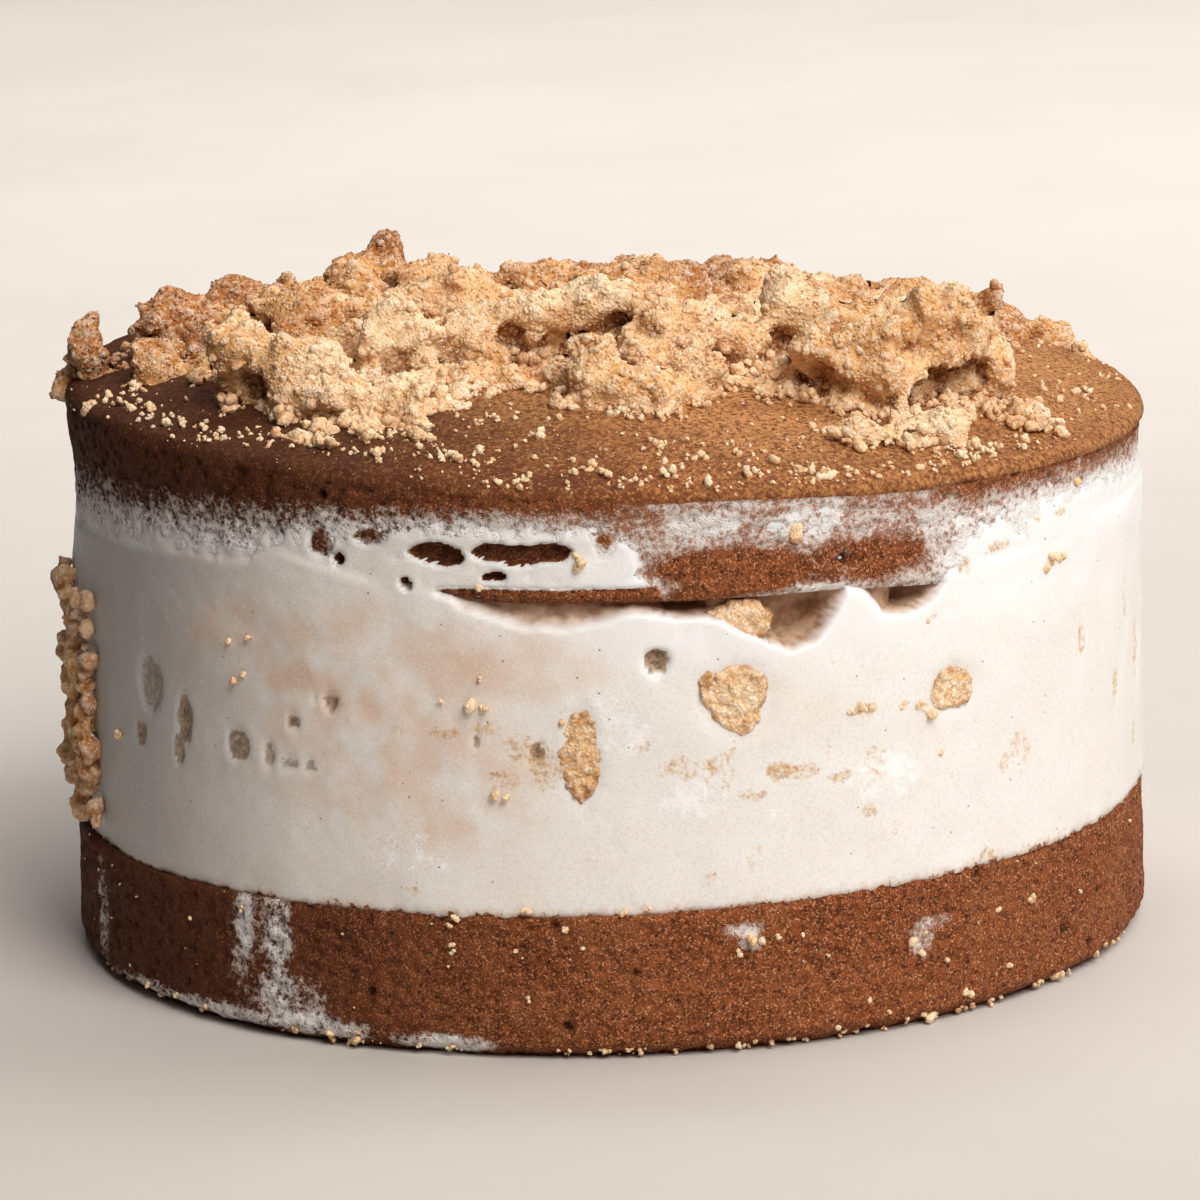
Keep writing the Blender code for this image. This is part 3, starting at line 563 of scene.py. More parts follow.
def scattered(points, faces, count, rng, wanted=None):
    """Random places on a surface, with the normals there and the numbers of the faces."""
    cross = face_crosses(points, faces)
    area = np.linalg.norm(cross, axis=1)
    chance = area if wanted is None else area * wanted
    chosen = rng.choice(len(faces), count, p=chance / chance.sum())
    a, b = rng.random((2, count, 1))
    flip = a + b > 1.0
    a, b = np.where(flip, 1.0 - a, a), np.where(flip, 1.0 - b, b)
    corner = points[faces[chosen]]
    places = corner[:, 0] + a * (corner[:, 1] - corner[:, 0]) + b * (corner[:, 2] - corner[:, 0])
    return places, cross[chosen] / area[chosen][:, None], chosen


def vertex_normals(points, faces):
    """Area-weighted normals of the points of a triangle mesh."""
    cross = face_crosses(points, faces)
    normals = np.zeros_like(points)
    for corner in range(3):
        np.add.at(normals, faces[:, corner], cross)
    return normals / np.maximum(np.linalg.norm(normals, axis=1, keepdims=True), 1e-12)


# Materials


class Tree:
    """Short calls for the nodes of one material."""

    def __init__(self, name):
        self.material = bpy.data.materials.new(name)
        self.material.use_nodes = True
        self.tree = self.material.node_tree
        self.shader = self.tree.nodes["Principled BSDF"]
        self.place = self.add("ShaderNodeTexCoord").outputs["Object"]

    def add(self, kind, inputs=None, **settings):
        node = self.tree.nodes.new(kind)
        for key, value in settings.items():
            setattr(node, key, value)
        for key, value in (inputs or {}).items():
            self.put(node.inputs[key], value)
        return node

    def put(self, socket, value):
        if isinstance(value, bpy.types.NodeSocket):
            self.tree.links.new(value, socket)
        elif isinstance(value, tuple) and len(value) == 3 and socket.type == "RGBA":
            socket.default_value = (*value, 1.0)
        else:
            socket.default_value = value

    def set(self, **inputs):
        for key, value in inputs.items():
            self.put(self.shader.inputs[key.replace("_", " ")], value)

    def noise(self, size, detail=3.0, roughness=0.55):
        """Noise round 0.5 with features of a size in millimetres."""
        inputs = {"Vector": self.place, "Scale": 1.0 / (size * MM), "Detail": detail, "Roughness": roughness}
        return self.add("ShaderNodeTexNoise", inputs).outputs["Fac"]

    def cells(self, size):
        """Scattered cells of a size in millimetres, with a distance and a random colour."""
        return self.add("ShaderNodeTexVoronoi", {"Vector": self.place, "Scale": 1.0 / (size * MM)})

    def value(self, name):
        return self.add("ShaderNodeAttribute", attribute_name=name).outputs["Fac"]

    def colour(self, name):
        return self.add("ShaderNodeAttribute", attribute_name=name).outputs["Color"]

    def ramp(self, value, low, high, start=0.0, end=1.0):
        """The value's place between low and high, as start to end, held at both ends."""
        node = self.add(
            "ShaderNodeMapRange",
            {"Value": value, "From Min": low, "From Max": high, "To Min": start, "To Max": end},
            interpolation_type="SMOOTHSTEP",
        )
        return node.outputs["Result"]

    def math(self, operation, first, second):
        node = self.add("ShaderNodeMath", {0: first, 1: second}, operation=operation)
        return node.outputs["Value"]

    def times(self, first, second):
        return self.math("MULTIPLY", first, second)

    def plus(self, first, second):
        return self.math("ADD", first, second)

    def mix(self, factor, first, second):
        node = self.add("ShaderNodeMix", data_type="RGBA")
        self.put(node.inputs[0], factor)
        self.put(node.inputs[6], first)
        self.put(node.inputs[7], second)
        return node.outputs[2]

    def bump(self, height, depth):
        """A bump whose height of 1 stands the depth in millimetres."""
        inputs = {"Height": height, "Distance": depth * MM, "Strength": 1.0}
        return self.add("ShaderNodeBump", inputs).outputs["Normal"]


def frost_layer(tree, colour):
    """Frost over a sponge colour: a thin veil, grey grains, and white lace round the open pores."""
    density = tree.value("frost")
    # The veil is kept off the painted shade on the cake's left side.
    lit = tree.ramp(tree.value("shaded"), 0.0, 0.6, 1.0, 0.0)
    veil = tree.times(tree.ramp(density, 0.05, 0.5, 0.0, 0.55), lit)
    colour = tree.mix(veil, colour, (0.50, 0.27, 0.18))
    lace = density
    for part, strength in (
        (tree.cells(0.85).outputs["Distance"], 0.7),
        (tree.noise(0.34, detail=2.0, roughness=0.8), 1.3),
        (tree.noise(0.95, detail=2.0, roughness=0.7), 1.3),
        (tree.noise(3.2, detail=1.0), 1.1),
    ):
        centred = tree.math("SUBTRACT", part, 0.47)
        lace = tree.plus(lace, tree.times(centred, strength))
    white = tree.times(tree.ramp(lace, 0.22, 1.0), tree.ramp(density, 0.0, 0.18))
    icy = tree.mix(tree.ramp(density, 0.1, 0.85), (0.64, 0.52, 0.45), (0.94, 0.91, 0.89))
    return tree.mix(tree.times(white, 0.97), colour, icy)


def sponge_material(name, dark, middle, light, skin=None):
    """Baked sponge: dark crumb with orange-brown edges and painted highlights, open pores with painted shade
    in them, painted shade on the cake's left side, and frost where it is carried.
    """
    tree = Tree(name)
    mottle = tree.noise(0.95, detail=3.0, roughness=0.75)
    colour = tree.mix(tree.ramp(mottle, 0.36, 0.60), dark, middle)
    # Lighter orange flecks of crumb, partly painted highlight, and pale dots that are painted highlights.
    glint = tree.noise(0.34, detail=2.0, roughness=0.75)
    colour = tree.mix(tree.ramp(glint, 0.50, 0.66, 0.0, 0.90), colour, light)
    colour = tree.mix(tree.ramp(glint, 0.58, 0.68, 0.0, 0.75), colour, (0.72, 0.40, 0.25))
    slow = tree.noise(12.0, detail=1.0)
    colour = tree.mix(tree.ramp(slow, 0.35, 0.7, 0.0, 0.15), colour, light)
    if skin is not None:
        brown, gold, pale = skin
        patches = tree.ramp(tree.noise(7.0, detail=3.0, roughness=0.65), 0.36, 0.64)
        sheen = tree.mix(patches, brown, gold)
        # The pale value carries golden crust and painted light on the side turned to the lights, and painted
        # shade along the rim away from them.
        sheen = tree.mix(tree.times(tree.value("pale"), 0.85), sheen, pale)
        grain = tree.noise(0.70, detail=2.0, roughness=0.75)
        sheen = tree.mix(tree.ramp(grain, 0.40, 0.52, 0.85, 0.0), sheen, brown)
        sheen = tree.mix(tree.ramp(grain, 0.54, 0.64, 0.0, 0.60), sheen, pale)
        dust = tree.cells(1.3)
        dots = tree.ramp(dust.outputs["Distance"], 0.09, 0.17, 1.0, 0.0)
        dots = tree.times(dots, tree.ramp(dust.outputs["Color"], 0.62, 0.66))
        sheen = tree.mix(tree.times(dots, 0.6), sheen, (0.88, 0.70, 0.50))
        colour = tree.mix(tree.value("skin"), colour, sheen)
    uneven = tree.times(tree.math("SUBTRACT", tree.noise(0.6, detail=2.0), 0.5), 0.7)
    pores = tree.plus(tree.cells(1.15).outputs["Distance"], uneven)
    open_pores = tree.ramp(pores, 0.06, 0.32, 0.75, 0.0)
    if skin is not None:
        weaker = tree.ramp(tree.value("skin"), 0.0, 1.0, 1.0, 0.25)
        open_pores = tree.times(open_pores, weaker)
    large_pores = tree.times(tree.value("pore"), 0.85)
    # These mixes paint shade into the open pores, the larger pores and the cake's left side.
    shaded = tree.times(tree.value("shaded"), 0.8)
    for factor, share in ((open_pores, 0.35), (large_pores, 0.3), (shaded, 0.5)):
        colour = tree.mix(factor, colour, tuple(share * part for part in dark))
    colour = frost_layer(tree, colour)
    relief = tree.plus(tree.times(mottle, 0.9), tree.times(glint, 0.8))
    tree.set(Base_Color=colour, Normal=tree.bump(relief, 0.42), Roughness=0.75, Specular_IOR_Level=0.22)
    return tree.material


def ice_cream_material():
    """Frozen vanilla: fine icy grain, warm areas, tan stains, dark specks and frosty patches."""
    tree = Tree("ice_cream_look")
    slow = tree.noise(11.0, detail=1.0)
    colour = tree.mix(tree.ramp(slow, 0.3, 0.7), (0.87, 0.83, 0.79), (0.89, 0.86, 0.83))
    # The white value is painted light: whiter ice high on the side turned to the right lamp, with less
    # speckle there.
    colour = tree.mix(tree.value("white"), colour, (0.92, 0.915, 0.91))
    # Painted shade: the ice turns grey on the cake's left side.
    colour = tree.mix(tree.times(tree.value("shaded"), 0.95), colour, (0.51, 0.505, 0.485))
    warm = tree.times(tree.value("warm"), tree.ramp(tree.noise(7.0, detail=2.0), 0.25, 0.65))
    colour = tree.mix(warm, colour, (0.78, 0.59, 0.45))
    grain = tree.noise(0.42, detail=2.0, roughness=0.75)
    speckle = tree.mix(tree.ramp(grain, 0.30, 0.50, 0.30, 0.0), colour, (0.66, 0.52, 0.42))
    colour = tree.mix(tree.ramp(tree.value("white"), 0.0, 1.0, 1.0, 0.3), colour, speckle)
    colour = tree.mix(tree.ramp(grain, 0.54, 0.72, 0.0, 0.40), colour, (0.97, 0.95, 0.93))
    broken = tree.math("SUBTRACT", tree.noise(0.95, detail=3.0, roughness=0.7), 0.5)
    patchy = tree.math("SUBTRACT", tree.noise(2.6, detail=2.0), 0.5)
    broken = tree.plus(tree.times(broken, 2.4), tree.times(patchy, 1.6))
    stain_edge = tree.plus(tree.value("stain"), broken)
    stain = tree.times(tree.ramp(stain_edge, 0.40, 1.25), tree.ramp(tree.value("stain"), 0.0, 0.35))
    crumbly = tree.ramp(tree.noise(0.8, detail=2.0), 0.35, 0.65)
    tan = tree.mix(crumbly, (0.62, 0.36, 0.16), (0.84, 0.64, 0.38))
    tan = tree.mix(tree.ramp(grain, 0.36, 0.48, 0.7, 0.0), tan, (0.36, 0.16, 0.06))
    colour = tree.mix(tree.times(stain, 0.85), colour, tan)
    pit = tree.value("pit")
    ragged = tree.ramp(tree.plus(pit, tree.times(broken, 0.45)), 0.25, 0.55)
    pit = tree.times(pit, ragged)
    pit_tone = tree.mix(crumbly, (0.13, 0.07, 0.035), (0.45, 0.29, 0.15))
    colour = tree.mix(pit, colour, pit_tone)
    # Painted shade in the hollows under the lip: tan to dark brown, stronger where they are deeper.
    hollow_shade = tree.ramp(tree.noise(2.4, detail=2.0), 0.3, 0.7)
    hollow_shade = tree.mix(hollow_shade, (0.38, 0.20, 0.10), (0.70, 0.48, 0.33))
    colour = tree.mix(tree.value("hollow"), colour, hollow_shade)
    uneven = tree.plus(tree.noise(0.8, detail=3.0, roughness=0.75), patchy)
    sugared = tree.plus(tree.times(tree.value("sugared"), 0.7), uneven)
    sugared = tree.ramp(sugared, 0.95, 1.30)
    colour = tree.mix(tree.times(sugared, 0.85), colour, (0.99, 0.98, 0.97))
    specks = tree.cells(1.9)
    rare = tree.ramp(specks.outputs["Color"], 0.70, 0.72)
    dots = tree.times(tree.ramp(specks.outputs["Distance"], 0.05, 0.10, 1.0, 0.0), rare)
    colour = tree.mix(tree.times(dots, 0.75), colour, (0.10, 0.055, 0.03))
    rough = tree.plus(tree.times(tree.value("sugared"), 0.4), 0.22)
    relief = tree.times(grain, rough)
    ragged_foot = tree.plus(tree.value("foot"), tree.times(broken, 0.6))
    colour = tree.mix(tree.ramp(ragged_foot, 0.20, 0.75, 0.0, 0.45), colour, (0.70, 0.47, 0.30))
    colour = tree.mix(tree.ramp(ragged_foot, 0.66, 0.84), colour, (0.26, 0.085, 0.028))
    tree.set(Base_Color=colour, Normal=tree.bump(relief, 0.22), Roughness=0.50, Specular_IOR_Level=0.4)
    tree.set(Subsurface_Weight=0.35, Subsurface_Radius=(1.0, 0.75, 0.6), Subsurface_Scale=0.0022)
    return tree.material


def crumb_material(name, frosted=0.0, contrast=1.0):
    """Baked streusel: its tint comes with the mesh, and sandy crumb and sugar crystals lie over it."""
    tree = Tree(name)
    sand = tree.cells(0.50)
    sand_height = tree.ramp(sand.outputs["Distance"], 0.15, 0.75, 1.0, 0.0)
    fine = tree.noise(0.38, detail=2.0, roughness=0.75)
    colour = tree.colour("tint")
    colour = tree.mix(tree.ramp(fine, 0.34, 0.50, 0.40 * contrast, 0.0), colour, (0.50, 0.22, 0.055))
    colour = tree.mix(tree.ramp(sand.outputs["Color"], 0.50, 0.85, 0.0, 0.40), colour, (1.0, 0.86, 0.64))
    colour = tree.mix(tree.ramp(sand_height, 0.0, 0.35, 0.30 * contrast, 0.0), colour, (0.55, 0.26, 0.08))
    sugar = tree.cells(0.42)
    rare = tree.ramp(sugar.outputs["Color"], 0.55, 0.60)
    dusted = tree.ramp(tree.noise(7.0, detail=1.0), 0.48, 0.62, 0.15, 1.0)
    crystals = tree.times(tree.ramp(sugar.outputs["Distance"], 0.20, 0.36, 1.0, 0.0), rare)
    crystals = tree.times(crystals, dusted)
    colour = tree.mix(tree.times(crystals, 0.85), colour, (1.0, 0.97, 0.93))
    if frosted:
        cold = tree.ramp(tree.noise(1.1, detail=4.0, roughness=0.75), 0.50, 0.66, 0.0, frosted)
        colour = tree.mix(cold, colour, (0.93, 0.88, 0.82))
    relief = tree.plus(tree.times(sand_height, 0.55), tree.times(fine, 0.9))
    tree.set(Base_Color=colour, Normal=tree.bump(relief, 0.17), Roughness=0.75, Specular_IOR_Level=0.20)
    return tree.material


def plain_material(name, colour, variation):
    tree = Tree(name)
    mixed = tree.mix(tree.ramp(tree.noise(90.0, detail=3.0), 0.3, 0.7), colour, variation)
    tree.set(Base_Color=mixed, Roughness=0.85)
    return tree.material


# Layers


# How the lower sponge's foot is worn: how deep, how far up, and how far out its crumbs still sit
FOOT_WEAR = 2.6
FOOT_WEAR_RISE = 3.4
CRUMB_WEAR = 2.3
# Where the hidden rows that close the skins end, from the axis
CLOSING_RADIUS = 40.0


def foot_wear(heights, depth):
    """How far the lower sponge's side is drawn in towards its foot."""
    return depth * (1.0 - smooth_step(heights / FOOT_WEAR_RISE + 0.12)) ** 1.5


def make_base(finish):
    """The lower sponge: a turned skin with open pores and a worn foot."""
    edge = BASE_EDGE[None, :]
    count = round(edge.max() / ROW_STEP)
    share = np.linspace(0.0, 1.0, count)[:, None]
    heights = share * edge
    azimuths = np.broadcast_to(AZIMUTHS, heights.shape)
    points = on_side(azimuths, SPONGE_RADIUS, heights)
    foot = foot_wear(heights, FOOT_WEAR)
    top_round = 0.35 * smooth_step((heights - edge + 0.9) / 0.9)
    radius = SPONGE_RADIUS - foot - top_round + side_wave(points, 11)
    pores, big = porous(points, 12)
    radius = radius - pores
    foot_noise = 0.5 * (1.0 - smooth_step(heights / 2.0)) * (1.0 + smooth_noise(points, 2.2, 15))
    radius = radius - foot_noise
    flat = np.zeros((1, AZIMUTHS.size))
    under = [on_side(AZIMUTHS[None], part, flat) for part in (CLOSING_RADIUS, radius[:1] - 1.2)]
    side = on_side(azimuths, radius, heights)
    top = [on_side(AZIMUTHS[None], part, edge - 0.1) for part in (SPONGE_RADIUS - 4.0, CLOSING_RADIUS)]
    frost = spots(azimuths, heights, SPONGE_RADIUS, BASE_PATCHES)
    rows = np.concatenate([*under, side, *top])
    # The pore value paints shade into the larger pores, and the shaded value paints shade on the cake's left
    # side.
    values = {"frost": frost, "pore": big, "shaded": painted_shade_side(azimuths, 8.0, 62.0)}
    values = {key: spread_rows(value, 2, 2) for key, value in values.items()}
    piece = grid_piece("base_sponge_skin", rows, values)
    dress(piece, finish, "base_sponge", "base_cake")


def painted_shade_side(azimuths, start, reach):
    """How deep in the painted shade on the cake's left an azimuth is, from 0 to 1, fading out at the back."""
    return smooth_step((start - azimuths) / reach) * smooth_step((azimuths + 160.0) / 60.0)


def turned_to(azimuths, middle, full, none):
    """1 within some degrees of a middle azimuth, and 0 beyond some more."""
    apart = np.abs((azimuths - middle + 180.0) % 360.0 - 180.0)
    return smooth_step((none - apart) / (none - full))


def spread_rows(value, below, above):
    """Repeat the first and last rows for the hidden rows at both ends."""
    return np.concatenate([np.repeat(value[:1], below, axis=0), value, np.repeat(value[-1:], above, axis=0)])


def porous(points, seed):
    """The depth of the sponge's pores and crumb, and how deep inside a larger pore a point is."""
    near, token = cell_noise(points, 1.7, seed)
    small = 0.45 * smooth_step((0.42 + 0.18 * token - near) / 0.3)
    near, token = cell_noise(points, 4.6, seed + 20)
    reach = 0.08 + 0.16 * token * token
    large = smooth_step((reach - near) / 0.12)
    crumb = 0.16 * layered_noise(points, 1.3, seed + 40, 2) + 0.10 * smooth_noise(points, 4.0, seed + 43)
    return small + 0.9 * large + crumb, large


def make_top(finish):
    """The upper sponge: side and dome as one skin, from the inside of its foot up to the axis."""
    foot = TOP_FOOT[None, :] + 0.15
    rim = rim_heights(AZIMUTHS[None])
    count = round(float((rim - foot).max()) / ROW_STEP)
    share = np.linspace(0.0, 1.0, count)[:, None]
    heights = foot + share * (rim - RIM_ROUND - foot)
    azimuths = np.broadcast_to(AZIMUTHS, heights.shape)
    places = on_side(azimuths, SPONGE_RADIUS, heights)
    frost = frost_on_top(azimuths, heights)
    pores, big = porous(places, 52)
    under_frost = smooth_step((frost - 0.75) / 0.3)
    foot_round = 0.7 * (1.0 - smooth_step((heights - foot) / 0.9))
    radius = top_side_radius(azimuths, heights) - foot_round
    holes = in_holes(azimuths, heights)
    radius = radius - pores * (1.0 - 0.8 * under_frost) + 0.12 * under_frost - 1.3 * holes
    side = on_side(azimuths, radius, heights)
    side[..., 0] += TOP_SHIFT
    rings = dome_rings()
    reach = rings[:, None] * np.ones(AZIMUTHS.size)
    dome_points = on_side(np.broadcast_to(AZIMUTHS, reach.shape), reach, np.zeros_like(reach))
    dome_points[..., 0] += TOP_SHIFT
    dome_points[..., 2] = dome_surface(dome_points[..., 0], dome_points[..., 1])
    waves = 0.22 * smooth_noise(dome_points, 7.0, 71) + 0.10 * smooth_noise(dome_points, 2.6, 72)
    near, token = cell_noise(dome_points, 1.5, 73)
    pinholes = 0.30 * smooth_step((0.20 + 0.14 * token - near) / 0.2)
    grain = 0.13 * layered_noise(dome_points, 1.1, 74, 2)
    shoulder = smooth_step((SPONGE_RADIUS - reach) / 3.0)
    dome_points[..., 2] += waves * shoulder + grain - pinholes * shoulder
    inner = [on_side(AZIMUTHS[None], part, foot) for part in (30.0, SPONGE_RADIUS - 3.0)]
    rows = np.concatenate([*inner, side, dome_points])
    azimuth_dome = np.broadcast_to(AZIMUTHS, reach.shape)
    inside = np.zeros((2, AZIMUTHS.size))
    skin = np.concatenate([
        inside,
        smooth_step((heights - rim + 2.4) / 2.0 + 0.5 * smooth_noise(places, 2.0, 77)) * 0.8,
        np.ones_like(reach),
    ])
    # The pale value below holds golden spots, paler crust towards the right back, and painted light on the
    # side turned to the lights; the rim's darker crust is mostly left off that side, so it also paints shade
    # on the side away from them.
    back_right = turned_to(azimuth_dome, 105.0, 30.0, 75.0) * smooth_step((73.5 - reach) / 7.0)
    golden = spots_on_dome(dome_points)
    lit = turned_to(azimuth_dome, 95.0, 60.0, 125.0)
    darker = smooth_step((reach - 66.0) / 9.0) * (1.0 - 0.90 * lit)
    pale = np.clip(0.10 + 0.34 * lit + 0.08 * back_right + golden - 0.45 * darker, 0.0, 1.0)
    pale_all = np.concatenate([inside, np.zeros_like(heights), pale])
    frost_all = np.concatenate([np.repeat(frost[:1], 2, axis=0), frost, np.full_like(reach, -1.0)])
    # The pore value paints shade into the larger pores, the frost's holes and the dome's pinholes.
    big = np.maximum(big, 0.55 * holes)
    pore_all = np.concatenate([inside, big, 0.5 * pinholes / 0.3])
    # The shaded value paints shade on the cake's left, on the side and on the outer dome.
    shade = np.concatenate([
        inside,
        painted_shade_side(azimuths, 12.0, 60.0),
        painted_shade_side(azimuth_dome, 8.0, 50.0) * smooth_step((reach - 40.0) / 25.0),
    ])
    values = {"skin": skin, "pale": pale_all, "frost": frost_all, "pore": pore_all, "shaded": shade}
    piece = grid_piece("top_sponge_skin", rows, values)
    dress(piece, finish, "top_sponge", "top_cake")


def dome_rings():
    """Distances of the dome's rows from its axis, close together outside the heap and wider under it."""
    rounding = SPONGE_RADIUS - RIM_ROUND * (1.0 - np.cos(np.linspace(0.2, 0.5 * math.pi, 5)))
    seen = np.arange(SPONGE_RADIUS - RIM_ROUND - 0.45, 36.0, -0.50)
    hidden = np.arange(34.0, 4.0, -5.0)
    return np.concatenate([rounding, seen, hidden])


def dome_surface(x, y):
    """The dome's height, with its rim rounded off."""
    distance = np.hypot(x - TOP_SHIFT, y)
    share = np.clip(distance / SPONGE_RADIUS, 0.0, 1.0)
    domed = RIM_HEIGHT + RIM_SLOPE * x + DOME_RISE * (1.0 - share * share) ** DOME_POWER
    inward = np.clip((distance - SPONGE_RADIUS + RIM_ROUND) / RIM_ROUND, 0.0, 1.0)
    return domed - RIM_ROUND * (1.0 - np.sqrt(1.0 - inward * inward))


# Golden areas of the dome, beside the front crumbs and at the right, as (x, y, reach, amount)
GOLDEN_SPOTS = ((20, -50, 13, 0.45), (-8, -44, 12, 0.45), (58, -14, 22, 0.25), (60, 8, 18, 0.3))


def spots_on_dome(points):
    """How golden each point of the dome is."""
    total = np.zeros(points.shape[:-1])
    for x, y, reach, amount in GOLDEN_SPOTS:
        total += amount * smooth_step(1.5 - np.hypot(points[..., 0] - x, points[..., 1] - y) / reach)
    return total


def make_ice_cream(finish):
    """The ice cream: its side, the hollows under the lip, and the skirt smeared over the upper sponge."""
    foot = BASE_EDGE[None, :] - 0.9
    wide_rows = np.arange(0.0, 1.0, 2.0 * ROW_STEP / (SLOT_FOOT - float(foot.min())))[:, None]
    skirt_top = np.minimum(SKIRT_TOP, rim_heights(AZIMUTHS[None]) - 1.5)
    narrow_rows = np.linspace(0.0, 1.0, round((SKIRT_TOP - SLOT_FOOT) / ROW_STEP))[:, None]
    heights = np.concatenate([
        foot + wide_rows * (SLOT_FOOT - foot), SLOT_FOOT + narrow_rows * (skirt_top - SLOT_FOOT),
    ])
    azimuths = np.broadcast_to(AZIMUTHS, heights.shape)
    points = on_side(azimuths, SPONGE_RADIUS, heights)
    filling = node_points("ice_cream")
    filling_radius = 0.5 * (filling[:, 1].max() - filling[:, 1].min()) - 0.15
    radius = filling_radius + side_wave(points, 91) + 0.05 * layered_noise(points, 1.6, 93, 2)
    radius = radius + 0.16 * smooth_noise(points, 5.0, 97)
    foot_edge = smooth_step((heights - foot - 0.25 * (1.0 + smooth_noise(points, 1.5, 98))) / 0.7)
    radius = radius - 1.2 * (1.0 - foot_edge)
    x_shift = 0.5 + (TOP_SHIFT - 0.5) * smooth_step((heights - 55.0) / 8.0)
    over = smooth_step((heights - TOP_FOOT[None, :] + 0.5) / 1.3)
    density = frost_on_top(azimuths, heights)
    ragged = 0.18 * smooth_noise(points, 1.5, 101) + 0.10 * smooth_noise(points, 0.9, 102)
    cover = np.clip((density + ragged - 0.92) * SKIRT_STEEPNESS, -SKIRT_HIDDEN, FROST_THICKNESS)
    skirt = top_side_radius(azimuths, heights) + cover - 1.6 * in_holes(azimuths, heights)
    radius = radius * (1.0 - over) + skirt * over
    hollow = slot_depth(azimuths, heights)
    below_lip = 1.0 - smooth_step((heights - TOP_FOOT[None, :] - 0.25) / 0.35)
    radius = radius - hollow * below_lip
    pit = np.zeros(heights.shape)
    for azimuth, height, half_width, half_height, depth, tone in PITS:
        inside = spots(azimuths, heights, SPONGE_RADIUS, ((azimuth, height, half_width, half_height, 1.0),))
        inside = np.clip(inside + 0.25 * smooth_noise(points, 0.9, 111) * (inside > 0.02), 0.0, 1.0)
        radius = radius - depth * inside
        pit = np.maximum(pit, tone * smooth_step((inside - 0.25) / 0.4))
    warmer = smooth_step((azimuths + 58.0) / 14.0) * smooth_step((2.0 - azimuths) / 16.0)
    side = on_side(azimuths, radius, heights)
    side[..., 0] += x_shift
    hidden = [(5.0, skirt_top - 1.0), (12.0, 58.0), (46.0, 58.0)]
    above = [on_side(AZIMUTHS[None], radius[-1:] - inward, height) for inward, height in hidden]
    below = on_side(AZIMUTHS[None], CLOSING_RADIUS, foot + 0.3)
    values = {
        "stain": spots(azimuths, heights, SPONGE_RADIUS, STAINS),
        "sugared": spots(azimuths, heights, SPONGE_RADIUS, SUGARED) + 0.25 * over,
        "warm": spots(azimuths, heights, SPONGE_RADIUS, WARM) + 0.15 * warmer,
        # The shaded value paints shade on the cake's left, weaker on the skirt over the sponge.
        "shaded": painted_shade_side(azimuths, -30.0, 30.0) * (1.0 - 0.75 * over),
        # The white value paints light high on the side turned to the right lamp.
        "white": smooth_step((heights - 49.0) / 10.0) * turned_to(azimuths, 95.0, 87.0, 113.0),
        "pit": pit,
        # The hollow value paints shade into the hollows under the lip.
        "hollow": smooth_step(hollow / 2.5) * below_lip,
        "foot": np.clip(1.0 - (heights - foot) / 3.0, 0.0, 1.0),
    }
    rows = np.concatenate([below, side, *above])
    values = {key: spread_rows(value, 1, 3) for key, value in values.items()}
    piece = grid_piece("ice_cream_skin", rows, values)
    dress(piece, finish, "ice_cream", "ice_cream")


# Streusel

LOOSE = np.array((0.98, 0.79, 0.55))
CREAM = np.array((0.98, 0.76, 0.50))
PALE = np.array((0.90, 0.57, 0.29))
GOLDEN = np.array((0.70, 0.35, 0.12))
TOASTED = np.array((0.42, 0.15, 0.04))
# Painted shade in the crevices, warm brown.
CREVICE_SHADE = np.array((0.38, 0.13, 0.025))
RAISED = np.array((0.98, 0.86, 0.74))
# How much painted shade darkens the colour deep between the lumps.
VALLEY_SHADE = np.array((0.55, 0.72, 0.85))
# Where the crumb is more or less toasted, as (x, y, z, reach, change)
TOASTED_SPOTS = (
    (-30.5, 44.0, 91.0, 5.0, 0.45), (-42.0, -8.0, 91.5, 8.0, 0.30), (-52.0, 23.0, 87.0, 10.0, 0.50),
    (-33.0, 40.0, 87.0, 8.0, 0.25), (22.0, 52.0, 83.0, 10.0, 0.55), (4.0, 56.0, 83.0, 8.0, 0.5),
    (46.0, 44.0, 80.5, 9.0, 0.4), (54.6, -33.0, 96.6, 4.0, 0.6), (-26.0, -20.0, 88.0, 5.0, 0.3),
    (20.0, 10.0, 92.0, 8.0, 0.5), (-12.0, -38.0, 86.0, 6.0, 0.3), (-72.0, -9.0, 87.0, 8.0, 0.45),
    (-60.0, -8.0, 91.0, 9.0, 0.40), (60.0, 27.0, 80.0, 6.0, 0.3), (-18.0, 20.0, 92.0, 8.0, 0.35),
    (-3.9, -72.0, 42.0, 6.0, 0.10), (16.0, -71.0, 49.0, 5.0, -0.15), (45.0, -58.0, 46.0, 5.0, 0.10),
    (-73.0, -14.0, 38.0, 22.0, 0.22),
)
# The front that is seen closest gets the finer mesh
VIEW_RISE = math.radians(12.6)
NEAR_VOXEL = 0.50
FAR_VOXEL = 1.15
SEEN_CELL = 0.7
SEEN_DEPTH = 5.0
# Grains as (count, smallest radius, largest radius, how far out in radii, detail): those that the
# heap's skin is made over, and those that are set on it where it is seen closest
FUSED_GRAINS = ((420, 1.4, 3.0, -0.35, 3), (1200, 0.8, 1.5, -0.25, 2), (2400, 0.4, 0.8, 0.05, 1))
LARGE_GRAINS = (800, 0.40, 0.95, -0.25, 2)
SMALL_GRAINS = (9000, 0.15, 0.38, -0.05, 1)
FOOT_CRUMBS = 460
# A lump of the solid that stands too high against the photo, as (x, y, reach, how far it is lowered)
LOWERED = (22.5, 25.0, 6.0, 2.8)
# How far the heap sinks into the dome where it is thinner than this
FOOT_SUNK = 1.8
FOOT_THIN = 2.2
